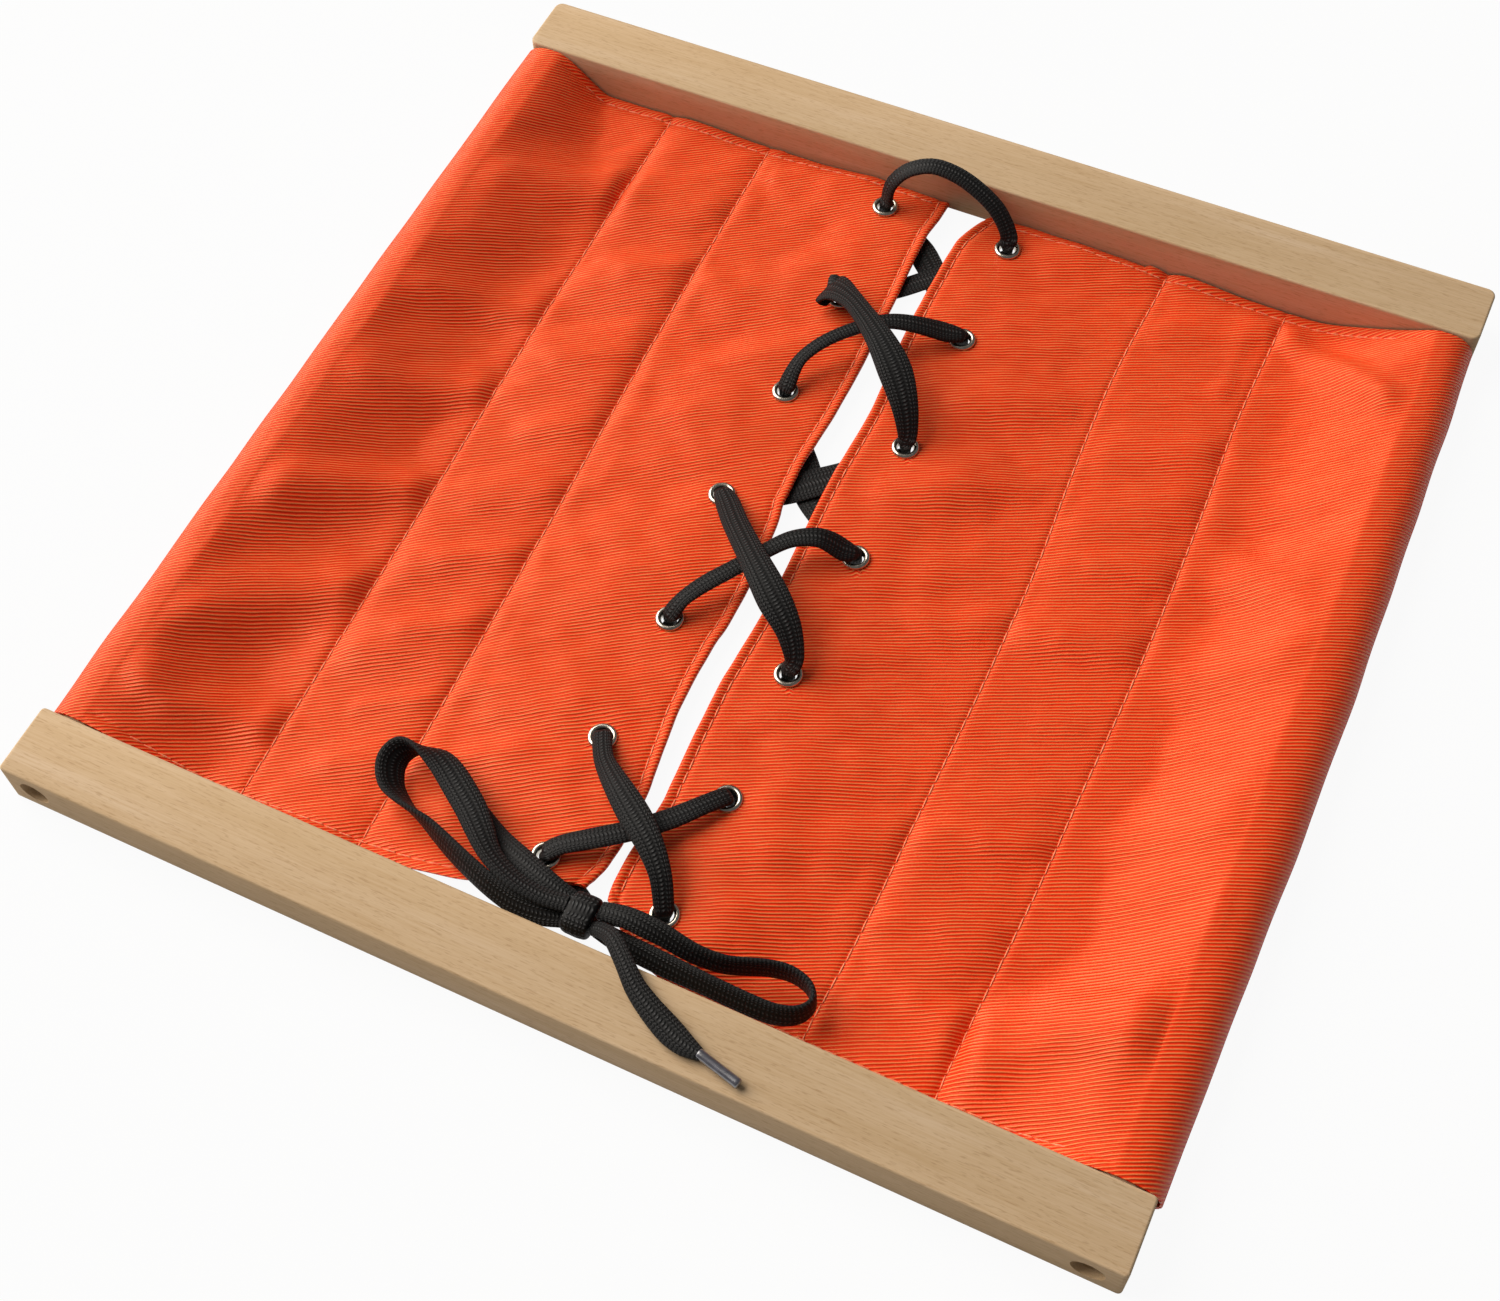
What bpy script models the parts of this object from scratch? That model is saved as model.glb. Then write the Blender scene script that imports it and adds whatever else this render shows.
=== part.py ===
"""A laced dressing frame: two cotton flaps on a beech frame, closed by one lace through metal eyelets.

Metres, +Z up. The frame lies on its back on a table at z = 0, as it is used. X runs along the two
bare rails, Y from the near rail to the far one, and the origin is the middle of the frame at table
height. Each flap is one strip of cloth that goes round a hidden side rail and comes back under
itself to its second row of stitches. The lace is threaded through both rows of eyelets and tied in
a bow over the near end of the gap.
"""

import math

import bmesh
import bpy
from mathutils import Vector

# The frame's rails
RAIL_LENGTH = 0.305
FRAME_DEPTH = 0.308
RAIL_WIDTH = 0.020
RAIL_HEIGHT = 0.015
RAIL_EDGE_ROUND = 0.0006
FRONT_CORNER_ROUND = 0.0010
BACK_CORNER_ROUND = 0.0025
SIDE_RAIL_WIDTH = 0.0125
SIDE_RAIL_HEIGHT = 0.0112
SIDE_RAIL_ROUND = 0.0052
SIDE_RAIL_INSET = 0.0025
SEAT_GAP = 0.0003

# The wood screws that hold each bare rail to the ends of the side rails
SHANK_RADIUS = 0.0018
HEAD_RADIUS = 0.0036
HEAD_HEIGHT = 0.0024
HEAD_CROWN = 0.0007
SCREW_LENGTH = 0.030
SCREW_POINT = 0.004
POINT_RADIUS = 0.0004
RECESS_DEPTH = 0.0013
RECESS_WIDTH = 0.0009
RECESS_SPAN = 0.0042
COUNTERBORE_RADIUS = 0.0042
COUNTERBORE_DEPTH = 0.0055
PILOT_SPARE = 0.0020
CUT_OVERRUN = 0.0010

# The cloth of the two flaps
CLOTH_THICKNESS = 0.0007
TABLE_CLEARANCE = 0.0005
SLEEVE_CLEARANCE = 0.0008
SLEEVE_SLACK = 0.0020
LAYER_GAP = 0.0003
END_CLEARANCE = 0.0006
FRONT_HEM_SHORT = 0.0030
STITCH_FROM_RAIL = 0.0375
STITCH_LINES_APART = 0.0355
STITCH_ALLOWANCE = 0.0015
FALL_WIDTH = 0.036
BACK_FALL_WIDTH = 0.011
FALL_SAG = 1.4
HEM_WIDTH = 0.0050
STRIP_WIDTH = 0.024
STRIP_RISE = 0.0023
CORNER_SWEEP = 0.015
SWEEP_WIDTH = 0.036
BACK_HEM_DROP = 0.0016
BACK_DROP_LENGTH = 0.0030

# The eyelets: rows along Y, counted from the back and spread evenly between the hems
EYELET_ROWS = 7
BACK_ROW_FROM_HEM = 0.0117
FRONT_ROW_FROM_HEM = 0.0181
ROW_TO_MIDDLE = 0.0195
EYELET_INSET = 0.0145
EYELET_BORE_RADIUS = 0.0024
EYELET_BARREL_RADIUS = 0.0028
EYELET_FLANGE_RADIUS = 0.0041
EYELET_BACK_RADIUS = 0.0037
EYELET_RIM = 0.0006
EYELET_BACK_RIM = 0.0004
# How far each eyelet has been pulled off its regular place, outwards and backwards, as shares of
# EYELET_INSET and of the rows' pitch. The third is the cloth from it to the gap, as a share of EYELET_INSET
LEFT_PULL_SHARES = (
    (0.31, 0.03, 1.155),
    (0.17, 0.05, 1.07),
    (0.18, 0.08, 1.125),
    (0.25, 0.06, 1.24),
    (-0.08, -0.02, 1.0),
    (-0.09, -0.03, 1.13),
    (-0.27, 0.05, 1.0),
)
RIGHT_PULL_SHARES = (
    (-0.22, 0.0, 1.0),
    (-0.17, 0.045, 1.14),
    (-0.16, -0.035, 1.0),
    (-0.01, -0.045, 1.15),
    (-0.10, -0.09, 1.045),
    (-0.01, -0.10, 1.07),
    (-0.04, 0.0, 1.085),
)

# Soft folds in each flap: place across from the free edge to the side rail and along from front to
# back, half width and half length, all as shares of the flap, the turn of the fold's length away
# from Y in degrees, and the height as a share of RAIL_HEIGHT
LEFT_FOLD_SHARES = (
    (0.82, 0.91, 0.08, 0.08, 60, 0.12),
    (0.84, 0.74, 0.08, 0.09, 30, 0.12),
    (0.84, 0.46, 0.09, 0.10, 20, 0.12),
    (0.82, 0.13, 0.10, 0.08, 40, 0.14),
    (0.62, 0.62, 0.05, 0.10, 35, 0.08),
)
RIGHT_FOLD_SHARES = (
    (0.88, 0.91, 0.10, 0.06, -40, 0.16),
    (0.84, 0.66, 0.08, 0.10, -20, 0.10),
    (0.84, 0.36, 0.09, 0.10, 10, 0.10),
    (0.90, 0.09, 0.10, 0.07, 30, 0.16),
    (0.62, 0.55, 0.05, 0.10, -30, 0.08),
)

# Where the cloth's middle line is bent, as shares of each stretch
FALL_SHARES = (0.2, 0.4, 0.6, 0.8, 1.0)
LAID_SHARES = (0.5,)
SEAM_SHARES = (0.0, 0.34, 0.67, 1.0)
RISE_SHARES = (0.33, 0.67, 1.0)

# The lace, in millimetres, point by point. In an eyelet it is bunched: heights and thicknesses there
MILLIMETRE = 0.001
BUNCH_WIDTH = 3.2
BUNCH_STEPS = ((2.25, 1.2), (4.3, 3.2), (6.2, 3.0))
UNDER_SECTION = (5.4, 1.1, 0)
OVER_SECTION = (5.8, 2.0, 0)
LEFT, RIGHT = -1, 1
# Each stretch of the threading: over or under the cloth along these points, or through an eyelet
THREADING = (
    ("under", ((0.0, -121.6, 4.6), (-2.4, -119.5, 2.4), (-8.5, -116.2, 1.9))),
    ("up", (LEFT, 7)),
    ("over", (
        (-12.1, -110.0, 8.0), (-5.2, -105.4, 9.0), (2.6, -99.4, 9.0),
        (9.8, -92.4, 8.8), (14.9, -86.0, 8.3),
    )),
    ("down", (RIGHT, 6)),
    ("under", ((19.2, -73.0, 1.9), (18.4, -60.0, 1.9), (17.9, -47.0, 1.9))),
    ("up", (RIGHT, 5)),
    ("over", ((18.6, -37.2, 10.0), (14.7, -32.3, 14.2), (8.6, -27.3, 16.4), (1.9, -21.2, 16.6))),
    ("over", ((-5.4, -14.1, 14.0), (-13.7, -5.3, 10.4), (-20.0, 2.2, 7.2))),
    ("down", (LEFT, 4)),
    ("under", (
        (-17.5, 10.0, 1.9), (-7.4, 18.4, 1.85), (-2.0, 23.0, 2.7),
        (3.4, 27.6, 1.95), (13.0, 36.0, 1.9),
    )),
    ("up", (RIGHT, 3)),
    ("over", ((16.8, 43.4, 9.0), (13.7, 48.2, 14.0), (7.3, 55.8, 17.8), (-1.3, 64.5, 18.2))),
    ("over", ((-11.8, 74.7, 14.2), (-19.6, 81.8, 8.6))),
    ("down", (LEFT, 2)),
    ("under", (
        (-17.0, 89.0, 1.9), (-7.8, 98.0, 2.0), (-2.8, 102.8, 2.75),
        (2.0, 107.4, 1.95), (12.2, 117.0, 1.9),
    )),
    ("up", (RIGHT, 1)),
    ("over", ((15.3, 124.0, 9.0), (9.4, 127.6, 14.0), (-1.4, 130.2, 18.4), (-11.8, 130.2, 20.0))),
    ("over", ((-19.6, 127.6, 17.2), (-23.4, 124.8, 12.0))),
    ("down", (LEFT, 1)),
    ("under", (
        (-19.5, 117.2, 1.9), (-8.6, 107.6, 1.5), (-2.8, 102.8, 1.05),
        (3.4, 97.8, 1.5), (11.8, 90.2, 1.9),
    )),
    ("up", (RIGHT, 2)),
    ("over", ((11.8, 81.6, 8.5), (4.2, 78.0, 12.0), (-3.0, 74.6, 14.0), (-10.3, 68.5, 14.4))),
    ("over", ((-16.9, 60.8, 13.6), (-21.1, 53.2, 11.0))),
    ("down", (LEFT, 3)),
    ("under", (
        (-18.0, 37.6, 1.9), (-7.6, 28.0, 1.5), (-2.0, 23.0, 1.05),
        (4.4, 17.4, 1.5), (14.6, 7.6, 1.9),
    )),
    ("up", (RIGHT, 4)),
    ("over", ((15.6, 0.2, 8.4), (9.8, -1.2, 12.4), (2.9, -5.3, 13.0), (-2.6, -12.3, 12.6))),
    ("over", ((-8.3, -20.7, 12.0), (-12.8, -26.9, 11.0), (-16.4, -32.9, 9.4))),
    ("down", (LEFT, 5)),
    ("under", ((-18.6, -45.0, 1.9), (-18.4, -57.0, 1.9), (-18.2, -69.0, 1.9))),
    ("up", (LEFT, 6)),
    ("over", (
        (-13.4, -84.6, 9.1), (-5.9, -91.3, 12.4), (2.4, -97.6, 13.6),
        (9.2, -102.9, 13.4), (15.1, -108.9, 11.2),
    )),
    ("down", (RIGHT, 7)),
    ("under", ((12.6, -118.0, 1.9), (6.4, -120.2, 2.2), (4.0, -122.2, 4.6))),
)

# The bow: X, Y, Z, width, thickness, and the tilt of the width from level in degrees
KNOT = (
    (-2.0, -126.0, 10.0, 9.4, 6.6, 0),
    (-1.2, -126.0, 10.0, 10.6, 7.6, 0),
    (1.8, -125.9, 10.0, 11.0, 8.0, 0),
    (4.8, -125.8, 10.0, 10.6, 7.6, 0),
    (5.6, -125.8, 10.0, 9.4, 6.6, 0),
)
LEFT_LOOP = (
    (-2.3, -128.2, 8.8, 4.6, 1.8, 0),
    (-4.0, -128.3, 8.9, 4.8, 1.8, 5),
    (-8.5, -129.4, 10.8, 5.4, 1.8, 20),
    (-14.0, -130.2, 12.8, 5.8, 1.8, 35),
    (-23.0, -129.2, 13.6, 6.2, 1.8, 50),
    (-36.8, -123.7, 12.0, 6.2, 1.8, 60),
    (-50.6, -118.5, 9.6, 6.2, 1.8, 75),
    (-59.5, -114.0, 8.2, 6.2, 1.8, 90),
    (-62.9, -108.8, 8.2, 6.2, 1.8, 90),
    (-61.0, -102.8, 9.5, 6.2, 1.8, 90),
    (-53.7, -100.9, 11.0, 6.2, 1.8, 105),
    (-43.2, -105.5, 13.0, 6.2, 1.8, 125),
    (-33.6, -112.5, 14.0, 6.2, 1.8, 145),
    (-26.1, -119.6, 14.0, 5.8, 1.8, 160),
    (-16.1, -124.2, 13.2, 5.4, 1.8, 170),
    (-8.0, -125.6, 12.4, 5.0, 1.8, 175),
    (-4.0, -125.4, 12.0, 4.8, 1.8, 180),
    (-2.3, -125.4, 12.0, 4.6, 1.8, 180),
)
RIGHT_LOOP = (
    (5.9, -123.4, 12.0, 4.4, 1.8, 0),
    (7.6, -123.4, 12.0, 4.6, 1.8, 0),
    (13.3, -123.6, 13.0, 5.2, 1.8, 5),
    (22.6, -124.3, 13.4, 5.8, 1.8, 15),
    (32.7, -123.8, 13.0, 6.2, 1.8, 35),
    (42.6, -121.5, 12.0, 6.2, 1.8, 55),
    (51.9, -118.3, 10.5, 6.2, 1.8, 75),
    (58.1, -118.6, 9.5, 6.2, 1.8, 90),
    (61.4, -122.1, 9.0, 6.2, 1.8, 90),
    (60.0, -126.8, 9.0, 6.2, 1.8, 90),
    (53.2, -129.8, 9.5, 6.2, 1.8, 95),
    (42.4, -130.3, 10.4, 6.2, 1.8, 110),
    (31.6, -129.6, 10.0, 5.8, 1.8, 130),
    (22.1, -128.9, 9.0, 5.2, 1.8, 150),
    (12.2, -127.8, 8.4, 4.8, 1.8, 170),
    (7.6, -127.0, 8.2, 4.6, 1.8, 180),
    (5.9, -127.0, 8.2, 4.4, 1.8, 180),
)
RIGHT_TAIL = (
    (5.9, -129.2, 11.4, 3.0, 1.8, 0),
    (7.2, -129.2, 11.6, 3.2, 1.8, 0),
    (9.6, -130.4, 13.6, 4.0, 1.8, 0),
    (13.6, -132.4, 16.4, 4.8, 1.8, 0),
    (18.4, -136.0, 17.4, 5.2, 1.8, 0),
    (25.5, -140.6, 17.0, 5.4, 1.8, 0),
    (32.7, -144.5, 16.8, 5.4, 1.8, 0),
    (39.2, -147.0, 16.7, 4.6, 1.8, 0),
    (45.8, -148.0, 16.7, 2.4, 1.8, 0),
)
LEFT_TAIL = (
    (-2.3, -122.4, 8.6, 4.0, 1.8, 0),
    (-4.0, -122.4, 8.6, 4.2, 1.8, 0),
    (-10.7, -120.0, 8.0, 4.8, 1.8, 0),
    (-19.8, -116.8, 7.4, 5.2, 1.8, 0),
    (-28.4, -113.6, 6.8, 5.2, 1.8, 0),
    (-36.0, -109.6, 6.4, 4.6, 1.8, 0),
    (-42.0, -106.0, 6.2, 2.4, 1.8, 0),
)
RIGHT_AGLET = ((46.2, -148.1, 16.7, 2.5, 2.5, 0), (56.6, -150.6, 16.7, 2.5, 2.5, 0))
LEFT_AGLET = ((-42.4, -105.8, 6.2, 2.5, 2.5, 0), (-52.6, -101.6, 5.8, 2.5, 2.5, 0))
# How square the lace's section is across and through: 1 is an ellipse, less is squarer
SQUARE_ACROSS = 0.6
SQUARE_THROUGH = 0.8
STEEPEST_LEVEL_SHARE = 0.35

# Facets
PANEL_ROWS = 14
SLEEVE_STEPS = 3
HEM_STEPS = 2
FRONT_RAIL_STEPS = 2
BACK_RAIL_STEPS = 4
SIDE_RAIL_STEPS = 4
EYELET_SIDES = 14
SCREW_SIDES = 16
HOLE_SIDES = 16
LACE_SIDES = 8
KNOT_SIDES = 12
MERGE_DISTANCE = 0.00001
SMOOTH_ANGLE = 35
PARALLEL_COSINE = 0.9

# Worked out from the sizes above
HALF_LENGTH = RAIL_LENGTH / 2
HALF_DEPTH = FRAME_DEPTH / 2
INNER_FACE = HALF_DEPTH - RAIL_WIDTH
HALF_CLOTH = CLOTH_THICKNESS / 2
SIDE_RAIL_BASE = TABLE_CLEARANCE + CLOTH_THICKNESS + SLEEVE_CLEARANCE
SIDE_RAIL_TOP = SIDE_RAIL_BASE + SIDE_RAIL_HEIGHT
SIDE_RAIL_Z = SIDE_RAIL_BASE + SIDE_RAIL_HEIGHT / 2
SIDE_RAIL_OUTSIDE = HALF_LENGTH - SIDE_RAIL_INSET
SIDE_RAIL_X = SIDE_RAIL_OUTSIDE - SIDE_RAIL_WIDTH / 2
SIDE_RAIL_INSIDE = SIDE_RAIL_OUTSIDE - SIDE_RAIL_WIDTH
LAID_Z = TABLE_CLEARANCE + CLOTH_THICKNESS + LAYER_GAP + HALF_CLOTH
STRIP_Z = LAID_Z + STRIP_RISE
HEM_PLACE = INNER_FACE - END_CLEARANCE
OUTER_STITCH = SIDE_RAIL_INSIDE - STITCH_FROM_RAIL
INNER_STITCH = OUTER_STITCH - STITCH_LINES_APART
FIRST_ROW = HEM_PLACE - BACK_ROW_FROM_HEM
EYELET_PITCH = (FIRST_ROW + HEM_PLACE - FRONT_ROW_FROM_HEM) / (EYELET_ROWS - 1)


def clear_scene():
    for old in list(bpy.data.objects):
        bpy.data.objects.remove(old, do_unlink=True)


def new_collection(name):
    made = bpy.data.collections.new(name)
    bpy.context.scene.collection.children.link(made)
    return made


def new_material(name, colour, roughness, metallic=0.0):
    made = bpy.data.materials.new(name)
    made.use_nodes = True
    shader = made.node_tree.nodes["Principled BSDF"]
    shader.inputs["Base Color"].default_value = (*colour, 1.0)
    shader.inputs["Roughness"].default_value = roughness
    shader.inputs["Metallic"].default_value = metallic
    return made


clear_scene()
PARTS = new_collection("dressing_frame")
CUTTERS = new_collection("cutters")
BEECH = new_material("beech", (0.60, 0.45, 0.28), 0.55)
TWILL = new_material("orange_twill", (0.86, 0.10, 0.02), 0.85)
NICKEL = new_material("nickel", (0.72, 0.70, 0.66), 0.25, 1.0)
STEEL = new_material("zinc_steel", (0.55, 0.55, 0.56), 0.35, 1.0)
BRAID = new_material("black_braid", (0.012, 0.012, 0.013), 0.75)
TIP = new_material("clear_tip", (0.03, 0.03, 0.035), 0.2)


def object_from(name, mesh_bm, material, collection=None, smooth=True):
    """The bmesh as a named object, shaded smooth with its corners kept sharp."""
    mesh = bpy.data.meshes.new(name)
    bmesh.ops.recalc_face_normals(mesh_bm, faces=mesh_bm.faces)
    mesh_bm.to_mesh(mesh)
    mesh_bm.free()
    made = bpy.data.objects.new(name, mesh)
    (collection or PARTS).objects.link(made)
    if material:
        mesh.materials.append(material)
    if smooth:
        mesh.shade_smooth()
        mesh.set_sharp_from_angle(angle=math.radians(SMOOTH_ANGLE))
    return made


def hide_cutter(cutter):
    cutter.hide_render = True
    cutter.display_type = "WIRE"
    return cutter


def cut(target, cutter):
    modifier = target.modifiers.new(f"cut by {cutter.name}", "BOOLEAN")
    modifier.operation = "DIFFERENCE"
    modifier.solver = "EXACT"
    modifier.object = cutter


def bar(name, size, corner_round, corner_steps, edge_round, long_axis):
    """A bar with its four edges along long_axis rounded by corner_round and every other by edge_round."""
    made = bmesh.new()
    bmesh.ops.create_cube(made, size=1.0)
    bmesh.ops.scale(made, vec=Vector(size), verts=made.verts)
    along = [edge for edge in made.edges if runs_along(edge, long_axis)]
    bmesh.ops.bevel(
        made, geom=along, offset=corner_round, segments=corner_steps, profile=0.5, affect="EDGES"
    )
    if edge_round:
        caps = [e for e in made.edges if is_cap_edge(e, long_axis)]
        bmesh.ops.bevel(made, geom=caps, offset=edge_round, segments=1, profile=0.5, affect="EDGES")
    return object_from(name, made, BEECH)


def runs_along(edge, axis):
    direction = (edge.verts[0].co - edge.verts[1].co).normalized()
    return abs(direction.dot(axis)) > PARALLEL_COSINE


def is_cap_edge(edge, long_axis):
    """True where one of the edge's two faces is an end face and the other runs along long_axis."""
    ends = [abs(face.normal.dot(long_axis)) > PARALLEL_COSINE for face in edge.link_faces]
    return ends[0] != ends[1]


def hole_cutter(name, radius, start, end, x):
    """A closed cylinder at a side rail's height whose axis runs along Y from start to end."""
    made = bmesh.new()
    bmesh.ops.create_cone(
        made, cap_ends=True, segments=HOLE_SIDES, radius1=radius, radius2=radius, depth=abs(end - start)
    )
    cutter = object_from(name, made, None, CUTTERS)
    cutter.rotation_euler = (math.pi / 2, 0, 0)
    cutter.location = (x, (start + end) / 2, SIDE_RAIL_Z)
    return hide_cutter(cutter)


def screw_places():
    """(name, side of X, side of Y) for the four corners."""
    for y_name, y_side in (("front", -1), ("back", 1)):
        for x_name, x_side in (("left", LEFT), ("right", RIGHT)):
            yield f"{y_name}_{x_name}", x_side, y_side


def make_rails():
    up = Vector((0, 0, 1))
    size = (RAIL_LENGTH, RAIL_WIDTH, RAIL_HEIGHT)
    rails = {
        "front": bar("front_rail", size, FRONT_CORNER_ROUND, FRONT_RAIL_STEPS, RAIL_EDGE_ROUND, up),
        "back": bar("back_rail", size, BACK_CORNER_ROUND, BACK_RAIL_STEPS, RAIL_EDGE_ROUND, up),
    }
    for name, y_side in (("front", -1), ("back", 1)):
        rails[name].location = (0, y_side * (HALF_DEPTH - RAIL_WIDTH / 2), RAIL_HEIGHT / 2)
    along = Vector((0, 1, 0))
    side_size = (SIDE_RAIL_WIDTH, 2 * (INNER_FACE - SEAT_GAP), SIDE_RAIL_HEIGHT)
    for name, x_side in (("left", LEFT), ("right", RIGHT)):
        rails[name] = bar(f"{name}_side_rail", side_size, SIDE_RAIL_ROUND, SIDE_RAIL_STEPS, 0, along)
        rails[name].location = (x_side * SIDE_RAIL_X, 0, SIDE_RAIL_Z)
    hole_radius = SHANK_RADIUS + SEAT_GAP
    floor = HALF_DEPTH - COUNTERBORE_DEPTH
    outside = HALF_DEPTH + CUT_OVERRUN
    pilot_end = floor - SCREW_LENGTH - PILOT_SPARE
    for place, x_side, y_side in screw_places():
        x = x_side * SIDE_RAIL_X
        bare_name, side_name = place.split("_")
        for cutter_name, radius, start, end, target in (
            ("counterbore", COUNTERBORE_RADIUS, floor, outside, bare_name),
            ("through", hole_radius, INNER_FACE - CUT_OVERRUN, floor + CUT_OVERRUN, bare_name),
            ("pilot", hole_radius, pilot_end, INNER_FACE, side_name),
        ):
            cutter = hole_cutter(f"{cutter_name}_{place}", radius, y_side * start, y_side * end, x)
            cut(rails[target], cutter)


def make_screws():
    """Four pan-head wood screws with a crossed recess, each standing in its counterbore."""
    profile = (
        (0.0, HEAD_HEIGHT),
        (HEAD_RADIUS - HEAD_CROWN, HEAD_HEIGHT - HEAD_CROWN / 3),
        (HEAD_RADIUS, HEAD_HEIGHT - HEAD_CROWN),
        (HEAD_RADIUS, 0.0),
        (SHANK_RADIUS, 0.0),
        (SHANK_RADIUS, SCREW_POINT - SCREW_LENGTH),
        (POINT_RADIUS, -SCREW_LENGTH),
        (0.0, -SCREW_LENGTH),
    )
    turned = bmesh.new()
    points = [turned.verts.new((radius, 0, height)) for radius, height in profile]
    for first, second in zip(points, points[1:]):
        turned.edges.new((first, second))
    shape = object_from("screw_blank", turned, STEEL)
    turn = shape.modifiers.new("turn", "SCREW")
    turn.steps = turn.render_steps = SCREW_SIDES
    turn.use_merge_vertices = True
    turn.merge_threshold = MERGE_DISTANCE
    turn.use_normal_calculate = True
    for index in range(2):
        slot = bmesh.new()
        bmesh.ops.create_cube(slot, size=1.0)
        span = (RECESS_SPAN, RECESS_WIDTH) if index else (RECESS_WIDTH, RECESS_SPAN)
        bmesh.ops.scale(slot, vec=Vector((*span, 2 * RECESS_DEPTH)), verts=slot.verts)
        cutter = object_from(f"recess_{index}", slot, None, CUTTERS)
        cutter.location = (0, 0, HEAD_HEIGHT)
        cut(shape, hide_cutter(cutter))
    bpy.context.view_layer.update()
    evaluated = shape.evaluated_get(bpy.context.evaluated_depsgraph_get())
    mesh = bpy.data.meshes.new_from_object(evaluated)
    mesh.name = "rail_screw"
    bpy.data.objects.remove(shape)
    seat = HALF_DEPTH - COUNTERBORE_DEPTH + SEAT_GAP
    for place, x_side, y_side in screw_places():
        screw = bpy.data.objects.new(f"rail_screw_{place}", mesh)
        PARTS.objects.link(screw)
        screw.location = (x_side * SIDE_RAIL_X, y_side * seat, SIDE_RAIL_Z)
        screw.rotation_euler = (-y_side * math.pi / 2, 0, 0)


def eyelet_places(side, pull_shares):
    """Centres of one flap's eyelets, from the back row to the front one."""
    for row, (outward, backward, _) in enumerate(pull_shares):
        x = side * (ROW_TO_MIDDLE + outward * EYELET_INSET)
        yield x, FIRST_ROW - (row - backward) * EYELET_PITCH


def make_eyelets(name, side, pull_shares, carrier):
    """One-piece eyelets: a flanged barrel pressed through the cloth and rolled over behind it."""
    front = STRIP_Z + HALF_CLOTH + SEAT_GAP
    behind = STRIP_Z - HALF_CLOTH - SEAT_GAP
    profile = (
        ((EYELET_BORE_RADIUS + EYELET_FLANGE_RADIUS) / 2, front + EYELET_RIM),
        (EYELET_FLANGE_RADIUS, front + EYELET_RIM / 3),
        (EYELET_FLANGE_RADIUS, front),
        (EYELET_BARREL_RADIUS, front),
        (EYELET_BARREL_RADIUS, behind),
        (EYELET_BACK_RADIUS, behind),
        (EYELET_BACK_RADIUS, behind - EYELET_BACK_RIM),
        (EYELET_BORE_RADIUS, behind - EYELET_BACK_RIM),
        (EYELET_BORE_RADIUS, front + EYELET_RIM / 2),
    )
    ring = bmesh.new()
    points = [ring.verts.new((radius, 0, height)) for radius, height in profile]
    for first, second in zip(points, points[1:] + points[:1]):
        ring.edges.new((first, second))
    shape = object_from(f"{name}_eyelet_blank", ring, NICKEL)
    turn = shape.modifiers.new("turn", "SCREW")
    turn.steps = turn.render_steps = EYELET_SIDES
    turn.use_merge_vertices = True
    turn.merge_threshold = MERGE_DISTANCE
    turn.use_normal_calculate = True
    bpy.context.view_layer.update()
    evaluated = shape.evaluated_get(bpy.context.evaluated_depsgraph_get())
    mesh = bpy.data.meshes.new_from_object(evaluated)
    mesh.name = f"{name}_eyelet"
    bpy.data.objects.remove(shape)
    for number, (x, y) in enumerate(eyelet_places(side, pull_shares), start=1):
        eyelet = bpy.data.objects.new(f"eyelet_{name}_{number}", mesh)
        PARTS.objects.link(eyelet)
        eyelet.parent = carrier
        eyelet.matrix_parent_inverse = carrier.matrix_world.inverted()
        eyelet.location = (x, y, 0)


def smooth_step(share):
    share = min(max(share, 0.0), 1.0)
    return share * share * (3 - 2 * share)


def free_edge(side, pull_shares, y):
    """Distance of a flap's free edge from the middle at this y: a smooth line along its eyelets."""
    places = eyelet_places(side, pull_shares)
    knots = [(py, abs(px) - pull[2] * EYELET_INSET) for (px, py), pull in zip(places, pull_shares)]
    if y >= knots[0][0]:
        return knots[0][1]
    for (upper_y, upper), (lower_y, lower) in zip(knots, knots[1:]):
        if y >= lower_y:
            return lower + (upper - lower) * smooth_step((y - lower_y) / (upper_y - lower_y))
    return knots[-1][1]


def arc(centre, radius, start, end, steps):
    """Points of an arc in the plane of a flap's section, from start to end degrees."""
    for index in range(steps + 1):
        angle = math.radians(start + (end - start) * index / steps)
        yield centre[0] + radius * math.cos(angle), centre[1] + radius * math.sin(angle)


def sleeve_turn(outer, deep, high, bend, slack):
    """Points round a side rail's outer side, from under it to its top, let out by the slack."""
    for height, start in ((deep, -90), (high, 0)):
        for step in range(SLEEVE_STEPS + 1):
            angle = math.radians(start + 90 * step / SLEEVE_STEPS)
            yield outer + (bend + slack) * math.cos(angle), height + bend * math.sin(angle)


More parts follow.
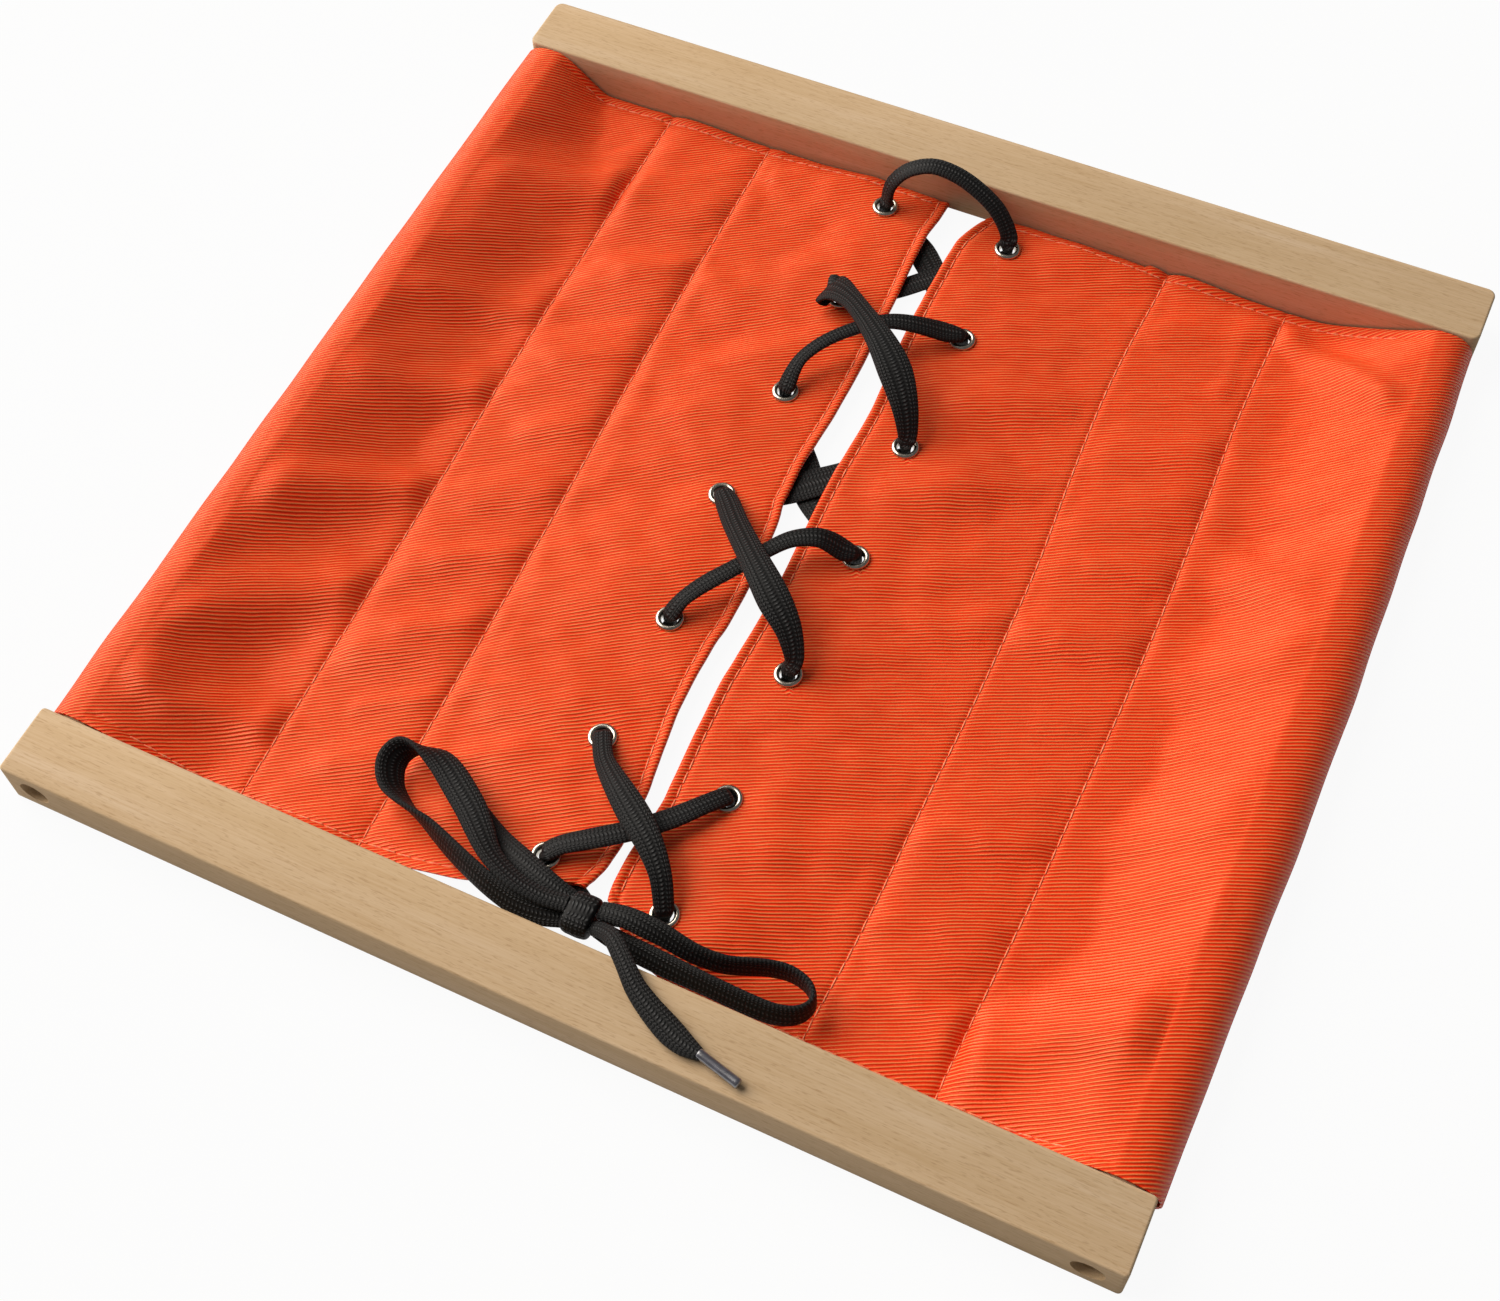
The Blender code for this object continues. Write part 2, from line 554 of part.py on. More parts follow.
def flap_section(edge, slack, hem_drop, fall_width):
    """The cloth's middle line in one section, as (distance out from the middle, height).

    It starts at the under layer's cut end, goes out under the side rail and round it, falls to the
    table, runs in over the under layer to the eyelet strip and ends in the folded hem.
    """
    bend = SIDE_RAIL_ROUND + SLEEVE_CLEARANCE + HALF_CLOTH
    low = TABLE_CLEARANCE + HALF_CLOTH
    outer = SIDE_RAIL_OUTSIDE - SIDE_RAIL_ROUND
    inner = SIDE_RAIL_INSIDE + SIDE_RAIL_ROUND
    high = SIDE_RAIL_TOP - SIDE_RAIL_ROUND
    deep = SIDE_RAIL_BASE + SIDE_RAIL_ROUND
    line = [(INNER_STITCH - STITCH_ALLOWANCE, low), (OUTER_STITCH, low), (SIDE_RAIL_INSIDE, low)]
    line += sleeve_turn(outer, deep, high, bend, slack)
    steepness = math.degrees(math.atan(FALL_SAG * (SIDE_RAIL_TOP - LAID_Z) / fall_width))
    line += arc((inner, high), bend, 90, 90 + steepness, SLEEVE_STEPS)
    shoulder, drop = line[-1]
    landing = shoulder - fall_width
    for share in FALL_SHARES:
        line.append((shoulder - share * fall_width, LAID_Z + (drop - LAID_Z) * (1 - share) ** FALL_SAG))
    for share in LAID_SHARES:
        line.append((landing + share * (OUTER_STITCH - landing), LAID_Z))
    for share in SEAM_SHARES:
        line.append((OUTER_STITCH + share * (INNER_STITCH - OUTER_STITCH), LAID_Z))
    strip = edge + STRIP_WIDTH
    top = STRIP_Z - hem_drop
    for share in RISE_SHARES:
        height = LAID_Z + (top - LAID_Z) * smooth_step(share)
        line.append((INNER_STITCH + share * (strip - INNER_STITCH), height))
    fold = (CLOTH_THICKNESS + LAYER_GAP) / 2
    line += [(edge + EYELET_INSET, top), (edge + HEM_WIDTH, top)]
    line += arc((edge + HALF_CLOTH + fold, top - fold), fold, 90, 270, HEM_STEPS)
    line += [(edge + HEM_WIDTH, top - 2 * fold)]
    return line


def fold_height(fold_shares, across, along):
    """Height of the soft folds at this place on the flap, both as shares."""
    total = 0.0
    for place, rest, half_width, half_length, turn, height in fold_shares:
        c, s = math.cos(math.radians(turn)), math.sin(math.radians(turn))
        du, dv = across - place, along - rest
        far = ((du * c + dv * s) / half_width) ** 2 + ((dv * c - du * s) / half_length) ** 2
        total += height * RAIL_HEIGHT * math.exp(-far)
    return total


def fold_room(out, edge):
    """How freely the upper layer can lift here: not at the rail, the eyelet strip or the free edge."""
    from_rail = smooth_step((SIDE_RAIL_INSIDE - out) / FALL_WIDTH)
    from_strip = smooth_step((out - edge - STRIP_WIDTH) / (OUTER_STITCH - INNER_STITCH))
    return from_rail * from_strip


def make_flap(name, side, pull_shares, fold_shares, hinge):
    rows = bmesh.new()
    lines = []
    for row in range(PANEL_ROWS + 1):
        share = 0.5 - 0.5 * math.cos(math.pi * row / PANEL_ROWS)
        y = HEM_PLACE * (1 - 2 * share)
        edge = free_edge(side, pull_shares, y)
        drop = BACK_HEM_DROP * smooth_step(1 - (HEM_PLACE - y) / BACK_DROP_LENGTH)
        fall_width = FALL_WIDTH + (BACK_FALL_WIDTH - FALL_WIDTH) * (1 - share) ** 4
        section = flap_section(edge, SLEEVE_SLACK * math.sin(math.pi * share), drop, fall_width)
        on_top = section.index(max(section, key=lambda point: point[1]))
        line = []
        for index, (out, height) in enumerate(section):
            sweep = CORNER_SWEEP * max(0.0, 1 - (out - edge) / SWEEP_WIDTH) ** 2
            sweep += FRONT_HEM_SHORT * smooth_step((SIDE_RAIL_INSIDE - out) / FALL_WIDTH)
            along = y + sweep * share
            if index > on_top and out > edge + HEM_WIDTH:
                across = (out - edge) / (SIDE_RAIL_INSIDE - edge)
                height += fold_room(out, edge) * fold_height(fold_shares, across, 1 - share)
            line.append(rows.verts.new((side * out, along, height)))
        lines.append(line)
    for line, following in zip(lines, lines[1:]):
        for index in range(len(line) - 1):
            rows.faces.new((line[index], line[index + 1], following[index + 1], following[index]))
    flap = object_from(f"{name}_panel", rows, TWILL)
    flap.parent = hinge
    flap.matrix_parent_inverse = hinge.matrix_world.inverted()
    thick = flap.modifiers.new("cloth thickness", "SOLIDIFY")
    thick.thickness = CLOTH_THICKNESS
    thick.offset = 0
    thick.use_even_offset = True
    holes = bmesh.new()
    for x, y in eyelet_places(side, pull_shares):
        made = bmesh.ops.create_cone(
            holes, cap_ends=True, segments=EYELET_SIDES, depth=2 * CUT_OVERRUN,
            radius1=EYELET_BARREL_RADIUS + SEAT_GAP, radius2=EYELET_BARREL_RADIUS + SEAT_GAP,
        )
        bmesh.ops.translate(holes, verts=made["verts"], vec=(x, y, STRIP_Z))
    cut(flap, hide_cutter(object_from(f"{name}_eyelet_holes", holes, None, CUTTERS)))


def hinge_at(name, side):
    """An empty on the flap's hinge line, the middle of its side rail."""
    made = bpy.data.objects.new(name, None)
    made.location = (side * SIDE_RAIL_X, 0, SIDE_RAIL_Z)
    PARTS.objects.link(made)
    bpy.context.view_layer.update()
    return made


def smooth_route(route):
    """Places on a smooth curve through the route, two for each stretch, with their sections."""
    places = [Vector(point[:3]) for point in route]
    sections = [Vector(point[3:]) for point in route]
    curve = [(places[0], sections[0])]
    for index in range(len(route) - 1):
        before, after = places[max(index - 1, 0)], places[min(index + 2, len(route) - 1)]
        first, second = places[index], places[index + 1]
        halfway = (9 * (first + second) - before - after) / 16
        curve.append((halfway, (sections[index] + sections[index + 1]) / 2))
        curve.append((second, sections[index + 1]))
    return curve


def headings(route, curve):
    """Unit directions along the curve. Its two ends follow the route's own first and last stretch."""
    ahead = [following[0] - before[0] for before, following in zip(curve, curve[2:])]
    first = Vector(route[1][:3]) - Vector(route[0][:3])
    last = Vector(route[-1][:3]) - Vector(route[-2][:3])
    return [direction.normalized() for direction in (first, *ahead, last)]


def level_sides(ahead_list):
    """A level direction across the route at each point, carried on where the route stands upright."""
    sides = []
    for ahead in ahead_list:
        level = Vector((-ahead.y, ahead.x, 0))
        if level.length < STEEPEST_LEVEL_SHARE and sides:
            level = sides[-1].copy()
        level.normalize()
        if sides and level.dot(sides[-1]) < 0:
            level.negate()
        sides.append(level)
    return sides


def rounded(value, power):
    return math.copysign(abs(value) ** power, value)


def make_band(name, route, material=BRAID, sides=LACE_SIDES, smooth=True):
    """A flat band with rounded edges, lofted along a route given in millimetres."""
    curve = smooth_route(route) if smooth else [(Vector(p[:3]), Vector(p[3:])) for p in route]
    ahead_list = headings(route, curve)
    band = bmesh.new()
    rings = []
    for (place, (width, thick, tilt)), ahead, level in zip(curve, ahead_list, level_sides(ahead_list)):
        level = (level - ahead * level.dot(ahead)).normalized()
        upward = ahead.cross(level).normalized()
        lean = math.radians(tilt)
        wide = level * math.cos(lean) + upward * math.sin(lean)
        high = upward * math.cos(lean) - level * math.sin(lean)
        ring = []
        for corner in range(sides):
            angle = 2 * math.pi * (corner + 0.5) / sides
            out = rounded(math.cos(angle), SQUARE_ACROSS) * width / 2
            rise = rounded(math.sin(angle), SQUARE_THROUGH) * thick / 2
            ring.append(band.verts.new((place + wide * out + high * rise) * MILLIMETRE))
        rings.append(ring)
    for ring, following in zip(rings, rings[1:]):
        for corner in range(sides):
            turn = (corner + 1) % sides
            band.faces.new((ring[corner], ring[turn], following[turn], following[corner]))
    band.faces.new(rings[0][::-1])
    band.faces.new(rings[-1])
    return object_from(name, band, material)


def threading_route():
    """The lace from under the knot, up the left end of its run and down the right, row by row."""
    rows = {
        LEFT: list(eyelet_places(LEFT, LEFT_PULL_SHARES)),
        RIGHT: list(eyelet_places(RIGHT, RIGHT_PULL_SHARES)),
    }
    route = []
    for kind, stretch in THREADING:
        if kind in ("under", "over"):
            section = UNDER_SECTION if kind == "under" else OVER_SECTION
            route += [(*point, *section) for point in stretch]
            continue
        side, row = stretch
        x, y = rows[side][row - 1]
        steps = BUNCH_STEPS if kind == "up" else BUNCH_STEPS[::-1]
        route += [(x / MILLIMETRE, y / MILLIMETRE, z, BUNCH_WIDTH, thick, 0) for z, thick in steps]
    return route


def make_lace():
    make_band("lace_threading", threading_route())
    make_band("lace_knot", KNOT, sides=KNOT_SIDES, smooth=False)
    make_band("lace_left_loop", LEFT_LOOP)
    make_band("lace_right_loop", RIGHT_LOOP)
    make_band("lace_left_tail", LEFT_TAIL)
    make_band("lace_right_tail", RIGHT_TAIL)
    make_band("aglet_left", LEFT_AGLET, TIP, smooth=False)
    make_band("aglet_right", RIGHT_AGLET, TIP, smooth=False)


def main():
    make_rails()
    make_screws()
    for name, side, pull_shares, fold_shares in (
        ("left", LEFT, LEFT_PULL_SHARES, LEFT_FOLD_SHARES),
        ("right", RIGHT, RIGHT_PULL_SHARES, RIGHT_FOLD_SHARES),
    ):
        hinge = hinge_at(f"{name}_flap_hinge", side)
        make_flap(name, side, pull_shares, fold_shares, hinge)
        make_eyelets(name, side, pull_shares, hinge)
    make_lace()


main()
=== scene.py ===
"""The looks of a laced dressing frame: waxed beech, orange twill, a flat black braid and nickel eyelets.

Metres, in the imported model's frame: +X along the bare rails, +Y towards the back rail, +Z up from
the table. The shapes of the cloth and the lace are worked out in millimetres, as on a maker's pattern.
"""

import bisect
import math

import bmesh
import bpy
from mathutils import Matrix, Vector, noise


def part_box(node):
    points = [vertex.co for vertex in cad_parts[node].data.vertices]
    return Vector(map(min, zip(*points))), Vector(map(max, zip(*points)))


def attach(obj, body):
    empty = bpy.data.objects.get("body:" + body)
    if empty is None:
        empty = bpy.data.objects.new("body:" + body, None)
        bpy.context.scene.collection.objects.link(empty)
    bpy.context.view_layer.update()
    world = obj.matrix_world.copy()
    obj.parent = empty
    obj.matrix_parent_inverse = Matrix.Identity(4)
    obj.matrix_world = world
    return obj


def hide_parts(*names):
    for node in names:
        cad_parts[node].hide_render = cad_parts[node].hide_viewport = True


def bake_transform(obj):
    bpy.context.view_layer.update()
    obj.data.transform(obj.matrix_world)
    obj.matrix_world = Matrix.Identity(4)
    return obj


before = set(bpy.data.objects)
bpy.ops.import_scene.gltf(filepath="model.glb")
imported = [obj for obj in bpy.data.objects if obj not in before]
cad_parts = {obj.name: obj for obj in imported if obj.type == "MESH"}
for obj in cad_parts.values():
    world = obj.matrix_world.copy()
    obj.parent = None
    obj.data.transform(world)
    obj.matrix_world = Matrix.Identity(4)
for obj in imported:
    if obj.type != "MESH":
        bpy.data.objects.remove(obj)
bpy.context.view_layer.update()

MM = 0.001
MERGE_DISTANCE = 0.001 * MM

# The camera, as solved on the frame's corners
SENSOR_WIDTH = 36.0
LENS = 50.01
SHIFT_X = 0.02335
SHIFT_Y = -0.00953
CAMERA_PLACE = Vector((0.139094, -0.291784, 0.480314))
CAMERA_AHEAD = Vector((-0.25769, 0.45608, -0.85181))
CAMERA_UP = Vector((-0.35034, 0.77749, 0.52227))

# The room: one large window to the left, and pale walls
WINDOW_PLACE = Vector((-2.66, 0.29, 2.38))
WINDOW_SIZE = 3.4
WINDOW_POWER = 208.0
WALL_LIGHT = 0.13
FLOOR_SIZE = 9.0
FLOOR_GLOW = 0.94

# The rails
RAIL_EDGE_ROUND = 0.7 * MM
FRONT_CORNER_ROUND = 1.2 * MM
BACK_CORNER_ROUND = 2.5 * MM
COUNTERBORE_RADIUS = 4.2 * MM
COUNTERBORE_DEPTH = 5.5 * MM
SHANK_HOLE_RADIUS = 2.1 * MM
CUT_OVERRUN = 1.0 * MM
SIDE_LOW, SIDE_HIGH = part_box("right_side_rail")
SIDE_MIDDLE = (SIDE_LOW + SIDE_HIGH) / 2
INNER_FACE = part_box("back_rail")[0].y

# The screws. The crown is radius and depth from its top, in millimetres
HEAD_RADIUS = 3.6 * MM
HEAD_HEIGHT = 2.4 * MM
HEAD_CROWN = ((0.0, 0.0), (1.6, 0.1), (2.9, 0.35), (3.45, 0.9), (3.6, 1.5))
SHANK_RADIUS = 1.8 * MM
POINT_RADIUS = 0.3 * MM
POINT_LENGTH = 4.0 * MM
RECESS_SPAN = 4.2 * MM
RECESS_WIDTH = 0.95 * MM
RECESS_DEPTH = 1.4 * MM
RECESS_TURN = 0.5
SCREW_SIDES = 32

# The flaps' cloth, one strip each, in millimetres
LEFT, RIGHT = -1, 1
CLOTH = 0.7
HALF_CLOTH = CLOTH / 2
TABLE_GAP = 0.5
LAYER_GAP = 0.3
SLEEVE_GAP = 0.8
SLEEVE_BEND = 5.2
BEND = SLEEVE_BEND + SLEEVE_GAP + HALF_CLOTH
RAIL_IN, RAIL_OUT = SIDE_LOW.x / MM, SIDE_HIGH.x / MM
RAIL_BASE, RAIL_TOP = SIDE_LOW.z / MM, SIDE_HIGH.z / MM
RAIL_GAP = 0.6
HEM_PLACE = INNER_FACE / MM - RAIL_GAP
STITCH_ALLOWANCE = 1.5
STRIP_WIDTH = 24.0
STRIP_RISE = 2.3
HEM_WIDTH = 5.0
HEM_STITCH = 2.9
# The back hem's bend towards the table, the rise over a turned hem, and the groove that a seam lies in
BACK_HEM_DROP = 1.5
BACK_DROP_LENGTH = 3.0
HEM_RISE = 0.3
HEM_MIDDLE = 1.4
HEM_ROUND = 1.1
GROOVE_DEPTH = 0.4
GROOVE_WIDTH = 0.9
# How full the fall beside the side rail is, and the height of the upper layer's middle where it lies down
FALL_BULGE = 1.1
LAID_Z = TABLE_GAP + CLOTH + LAYER_GAP + HALF_CLOTH
# The cloth's grid: its rows crowd towards the hems, its columns towards the seams and the free edge
CLOTH_ROWS = 190
ROW_CROWDING = 0.55
SEAM_STEPS = (3.0, 1.8, 1.0, 0.5, 0.0, -0.5, -1.0, -1.8, -3.0)
EDGE_STEPS = (3.0, 1.8, 1.0, 0.5, 0.0, -0.5, -1.0, -1.6)
UNDER_STEPS = 10
TURN_STEPS = 9
RAIL_TOP_STEPS = 3
SHOULDER_STEPS = 4
PANEL_STEPS = 22
STRIP_STEPS = 34
HEM_TURN_STEPS = 6
# The twill's ribs, as far apart as in the photograph, and how far each flap's turn from X
RIB_PITCH = 0.95 * MM
RIB_TURN = {LEFT: math.radians(33), RIGHT: math.radians(25)}

# How the cloth waves, in millimetres. A ripple has a height, a length along the ribs, a width across
# them and a place of its own in the noise
RIPPLES = ((2.3, 58, 17, 0), (0.7, 26, 9, 9), (0.2, 14, 5, 21))
STRIP_WAVE = 0.5
STRIP_WAVE_OUT = 9
STRIP_WAVE_ALONG = 7
PUCKER_HEIGHT = 0.6
PUCKER_PITCH = 5.5
PUCKER_SPREAD = 16
PUCKER_REACH = 7
PUFF_RISE = 0.6
PUFF_FLANK = 9
SLACK_WANDER = 0.5
SLACK_WANDER_LENGTH = 24
SLEEVE_LIFT = 0.5
SLEEVE_LIFT_LENGTH = 22

# Where the waves are held flat: on the side rail, at the free edge, along a seam, round an eyelet
SLEEVE_HOLD = 5.5
SLEEVE_RELEASE = 11
EDGE_HOLD = 6
EDGE_RELEASE = 26
SEAM_HOLD = 0.8
SEAM_HOLD_WIDTH = 2.6
SEAM_TO_STRIP = 6
EYELET_HOLD_WIDTH = 7.5

# Places in the noise, so that no two waves are alike
RIPPLE_PLACE = 3.7
STRIP_PLACE = 4.4
SLACK_PLACE = 5.1
LIFT_PLACE = 2.3
INNER_PUCKER_PLACE = 2.0
OUTER_PUCKER_PLACE = 7.0

# Lines on each flap, as the photograph shows them: (place along Y, distance out from the middle)
FREE_EDGE = {
    LEFT: (
        (-117, 2.6), (-114, 1.6), (-110, 0.2), (-106, -0.3), (-102, -0.6), (-94, -0.4), (-86, 0.2),
        (-82, 0.8), (-78, 1.4), (-74, 2.0), (-70, 2.5), (-66, 3.1), (-62, 3.6), (-54, 3.9), (-46, 4.0),
        (-38, 3.8), (-34, 3.3), (-28, 3.0), (-20, 3.1), (-10, 3.7), (2, 4.7), (6, 5.3), (10, 6.2),
        (14, 6.4), (26, 6.8), (34, 6.4), (42, 5.9), (50, 5.7), (62, 5.7), (70, 6.0), (86, 6.5),
        (102, 7.3), (110, 7.7), (118, 7.9), (122, 7.3), (126, 6.9), (133, 7.0),
    ),
    RIGHT: (
        (-117, 3.9), (-114, 3.2), (-106, 3.1), (-96, 3.6), (-90, 4.0), (-86, 4.2), (-82, 3.9),
        (-78, 3.7), (-70, 3.2), (-62, 2.9), (-50, 2.5), (-42, 2.8), (-34, 3.2), (-28, 3.5), (-14, 3.4),
        (-6, 3.1), (4, 2.7), (14, 2.3), (26, 2.1), (34, 2.5), (50, 2.8), (58, 2.4), (66, 1.8),
        (76, 0.9), (86, 0.4), (94, 0.3), (106, 0.4), (118, 0.9), (122, 2.0), (126, 3.5), (130, 5.2),
        (133, 6.2),
    ),
}
INNER_SEAM = {
    LEFT: ((-130, 61.5), (-80, 62.5), (-20, 64), (20, 65.5), (80, 67), (130, 67.5)),
    RIGHT: (
        (-125, 63), (-100, 64.5), (-60, 65), (-20, 65.5), (20, 65), (50, 63), (80, 61.5), (100, 61.5),
        (130, 63),
    ),
}
OUTER_SEAM = {
    LEFT: ((-133, 97.3), (-120, 97.5), (-60, 98.5), (0, 100), (40, 101), (130, 101.5)),
    RIGHT: (
        (-125, 97.5), (-100, 98.5), (-70, 99.8), (-40, 100.3), (-10, 101), (20, 101), (60, 100), (90, 98.7),
        (130, 99.5),
    ),
}
# How far the cloth takes to come down from the side rail, and how loosely the sleeve goes round it
FALL_WIDTH = {LEFT: ((-133, 36), (88, 36), (110, 27), (133, 18)), RIGHT: ((-133, 34), (133, 33))}
SLACK = {LEFT: ((-133, 0.5), (0, 1.5), (133, 2.0)), RIGHT: ((-133, 2.5), (0, 3.5), (133, 1.0))}
# How far the front hem stands back from the rail, by the distance out from the middle
FRONT_HEM = {
    LEFT: (
        (-1, 17.0), (6.5, 16.3), (15, 12.6), (22, 9.3), (30.8, 5.9), (37.8, 4.4), (44.3, 3.4), (55, 2.4),
        (70, 1.6), (100, 0.8), (137, 0),
    ),
    RIGHT: ((3.9, 16.4), (15.4, 6.1), (20.4, 4.1), (25.6, 2.6), (35, 1.6), (60, 0.8), (100, 0.3), (137, 0)),
}
# Single folds: height, width of the flank to the front and right, width of the other, the crest's points.
# A fold reaches so many widths, and this is the direction that its front flank faces
RIDGE_REACH = 2.5
RIDGE_FRONT = (0.5, -0.86)
RIDGES = {
    LEFT: (
        (3.6, 9, 11, ((-104, 95), (-128, 80), (-147, 70))),
        (2.4, 5.5, 9, ((-104, 44), (-114, 39), (-137, 34))),
        (2.6, 6, 9, ((-107, 10), (-122, 1), (-142, -4))),
        (3.0, 7, 9, ((-107, -27), (-117, -33), (-137, -47))),
        (3.0, 8, 9, ((-107, -65), (-122, -80), (-132, -90), (-142, -97))),
        (3.2, 6, 10, ((-103, -110), (-125, -116), (-138, -113))),
        (0.9, 3, 5, ((-67, 81), (-85, 69))),
        (0.9, 3, 5, ((-67, 43), (-88, 30))),
        (0.8, 3, 5, ((-66, 15), (-84, 4))),
        (0.8, 3, 5, ((-65, -12), (-86, -25))),
        (0.9, 3, 5, ((-64, -32), (-84, -45))),
        (0.9, 3, 5, ((-63, -57), (-83, -69))),
        (0.8, 3, 5, ((-63, -82), (-82, -94))),
        (0.8, 3, 5, ((-62, -102), (-80, -113))),
        (0.8, 8, 8, ((-60, -78), (-24, -66))),
        (0.9, 5, 8, ((-58, -101), (-24, -88))),
    ),
    RIGHT: (
        (1.3, 6, 8, ((107, 46), (142, 26))),
        (2.8, 6, 4.5, ((100, 124), (118, 117), (134, 106))),
        (4.6, 8, 11, ((138, -97), (120, -103), (105, -118))),
        (0.8, 3, 5, ((92, 124), (92, 98))),
        (0.9, 3, 5, ((101, 31), (80, 25))),
        (0.9, 3, 5, ((101, 3), (80, 0))),
        (0.8, 3, 5, ((100, -22), (84, -25))),
        (0.9, 3, 5, ((99, -59), (84, -63))),
        (0.8, 3, 5, ((98, -85), (84, -89))),
        (0.8, 3, 5, ((98, -110), (84, -110))),
    ),
}

# Fine stitches, in millimetres
STITCH_PITCH = 4.2
STITCH_LENGTH = 4.1
STITCH_THICK = 0.48
STITCH_RISE = HALF_CLOTH + 0.1
STITCH_SLANT = 0.05
# Points that a seam is laid along. A hem's seam starts this far from the gap's seam, and is this much
# shorter than the way from that seam to the side rail
SEAM_POINTS = 200
HEM_SEAM_START = 8.0
HEM_SEAM_SHORT = 14.0

# The eyelets
BORE_RADIUS = 2.4 * MM
BARREL_RADIUS = 2.8 * MM
HOLE_RADIUS = 3.0 * MM
UPPER_LAYER_Z = 3.0 * MM
FLANGE_RADIUS = 4.0 * MM
BACK_RADIUS = 3.7 * MM
FLANGE_BASE = 0.65 * MM
FLANGE_EDGE = 0.1 * MM
BEAD_RISE = 0.75 * MM
BEAD_STEPS = 8
CURL_INSIDE = 0.45 * MM
CURL_TOP = 0.4 * MM
CURL_FOOT = 0.12 * MM
CURL_ROUND = 0.2 * MM
EYELET_SIDES = 40
EYELET_ROWS = 7

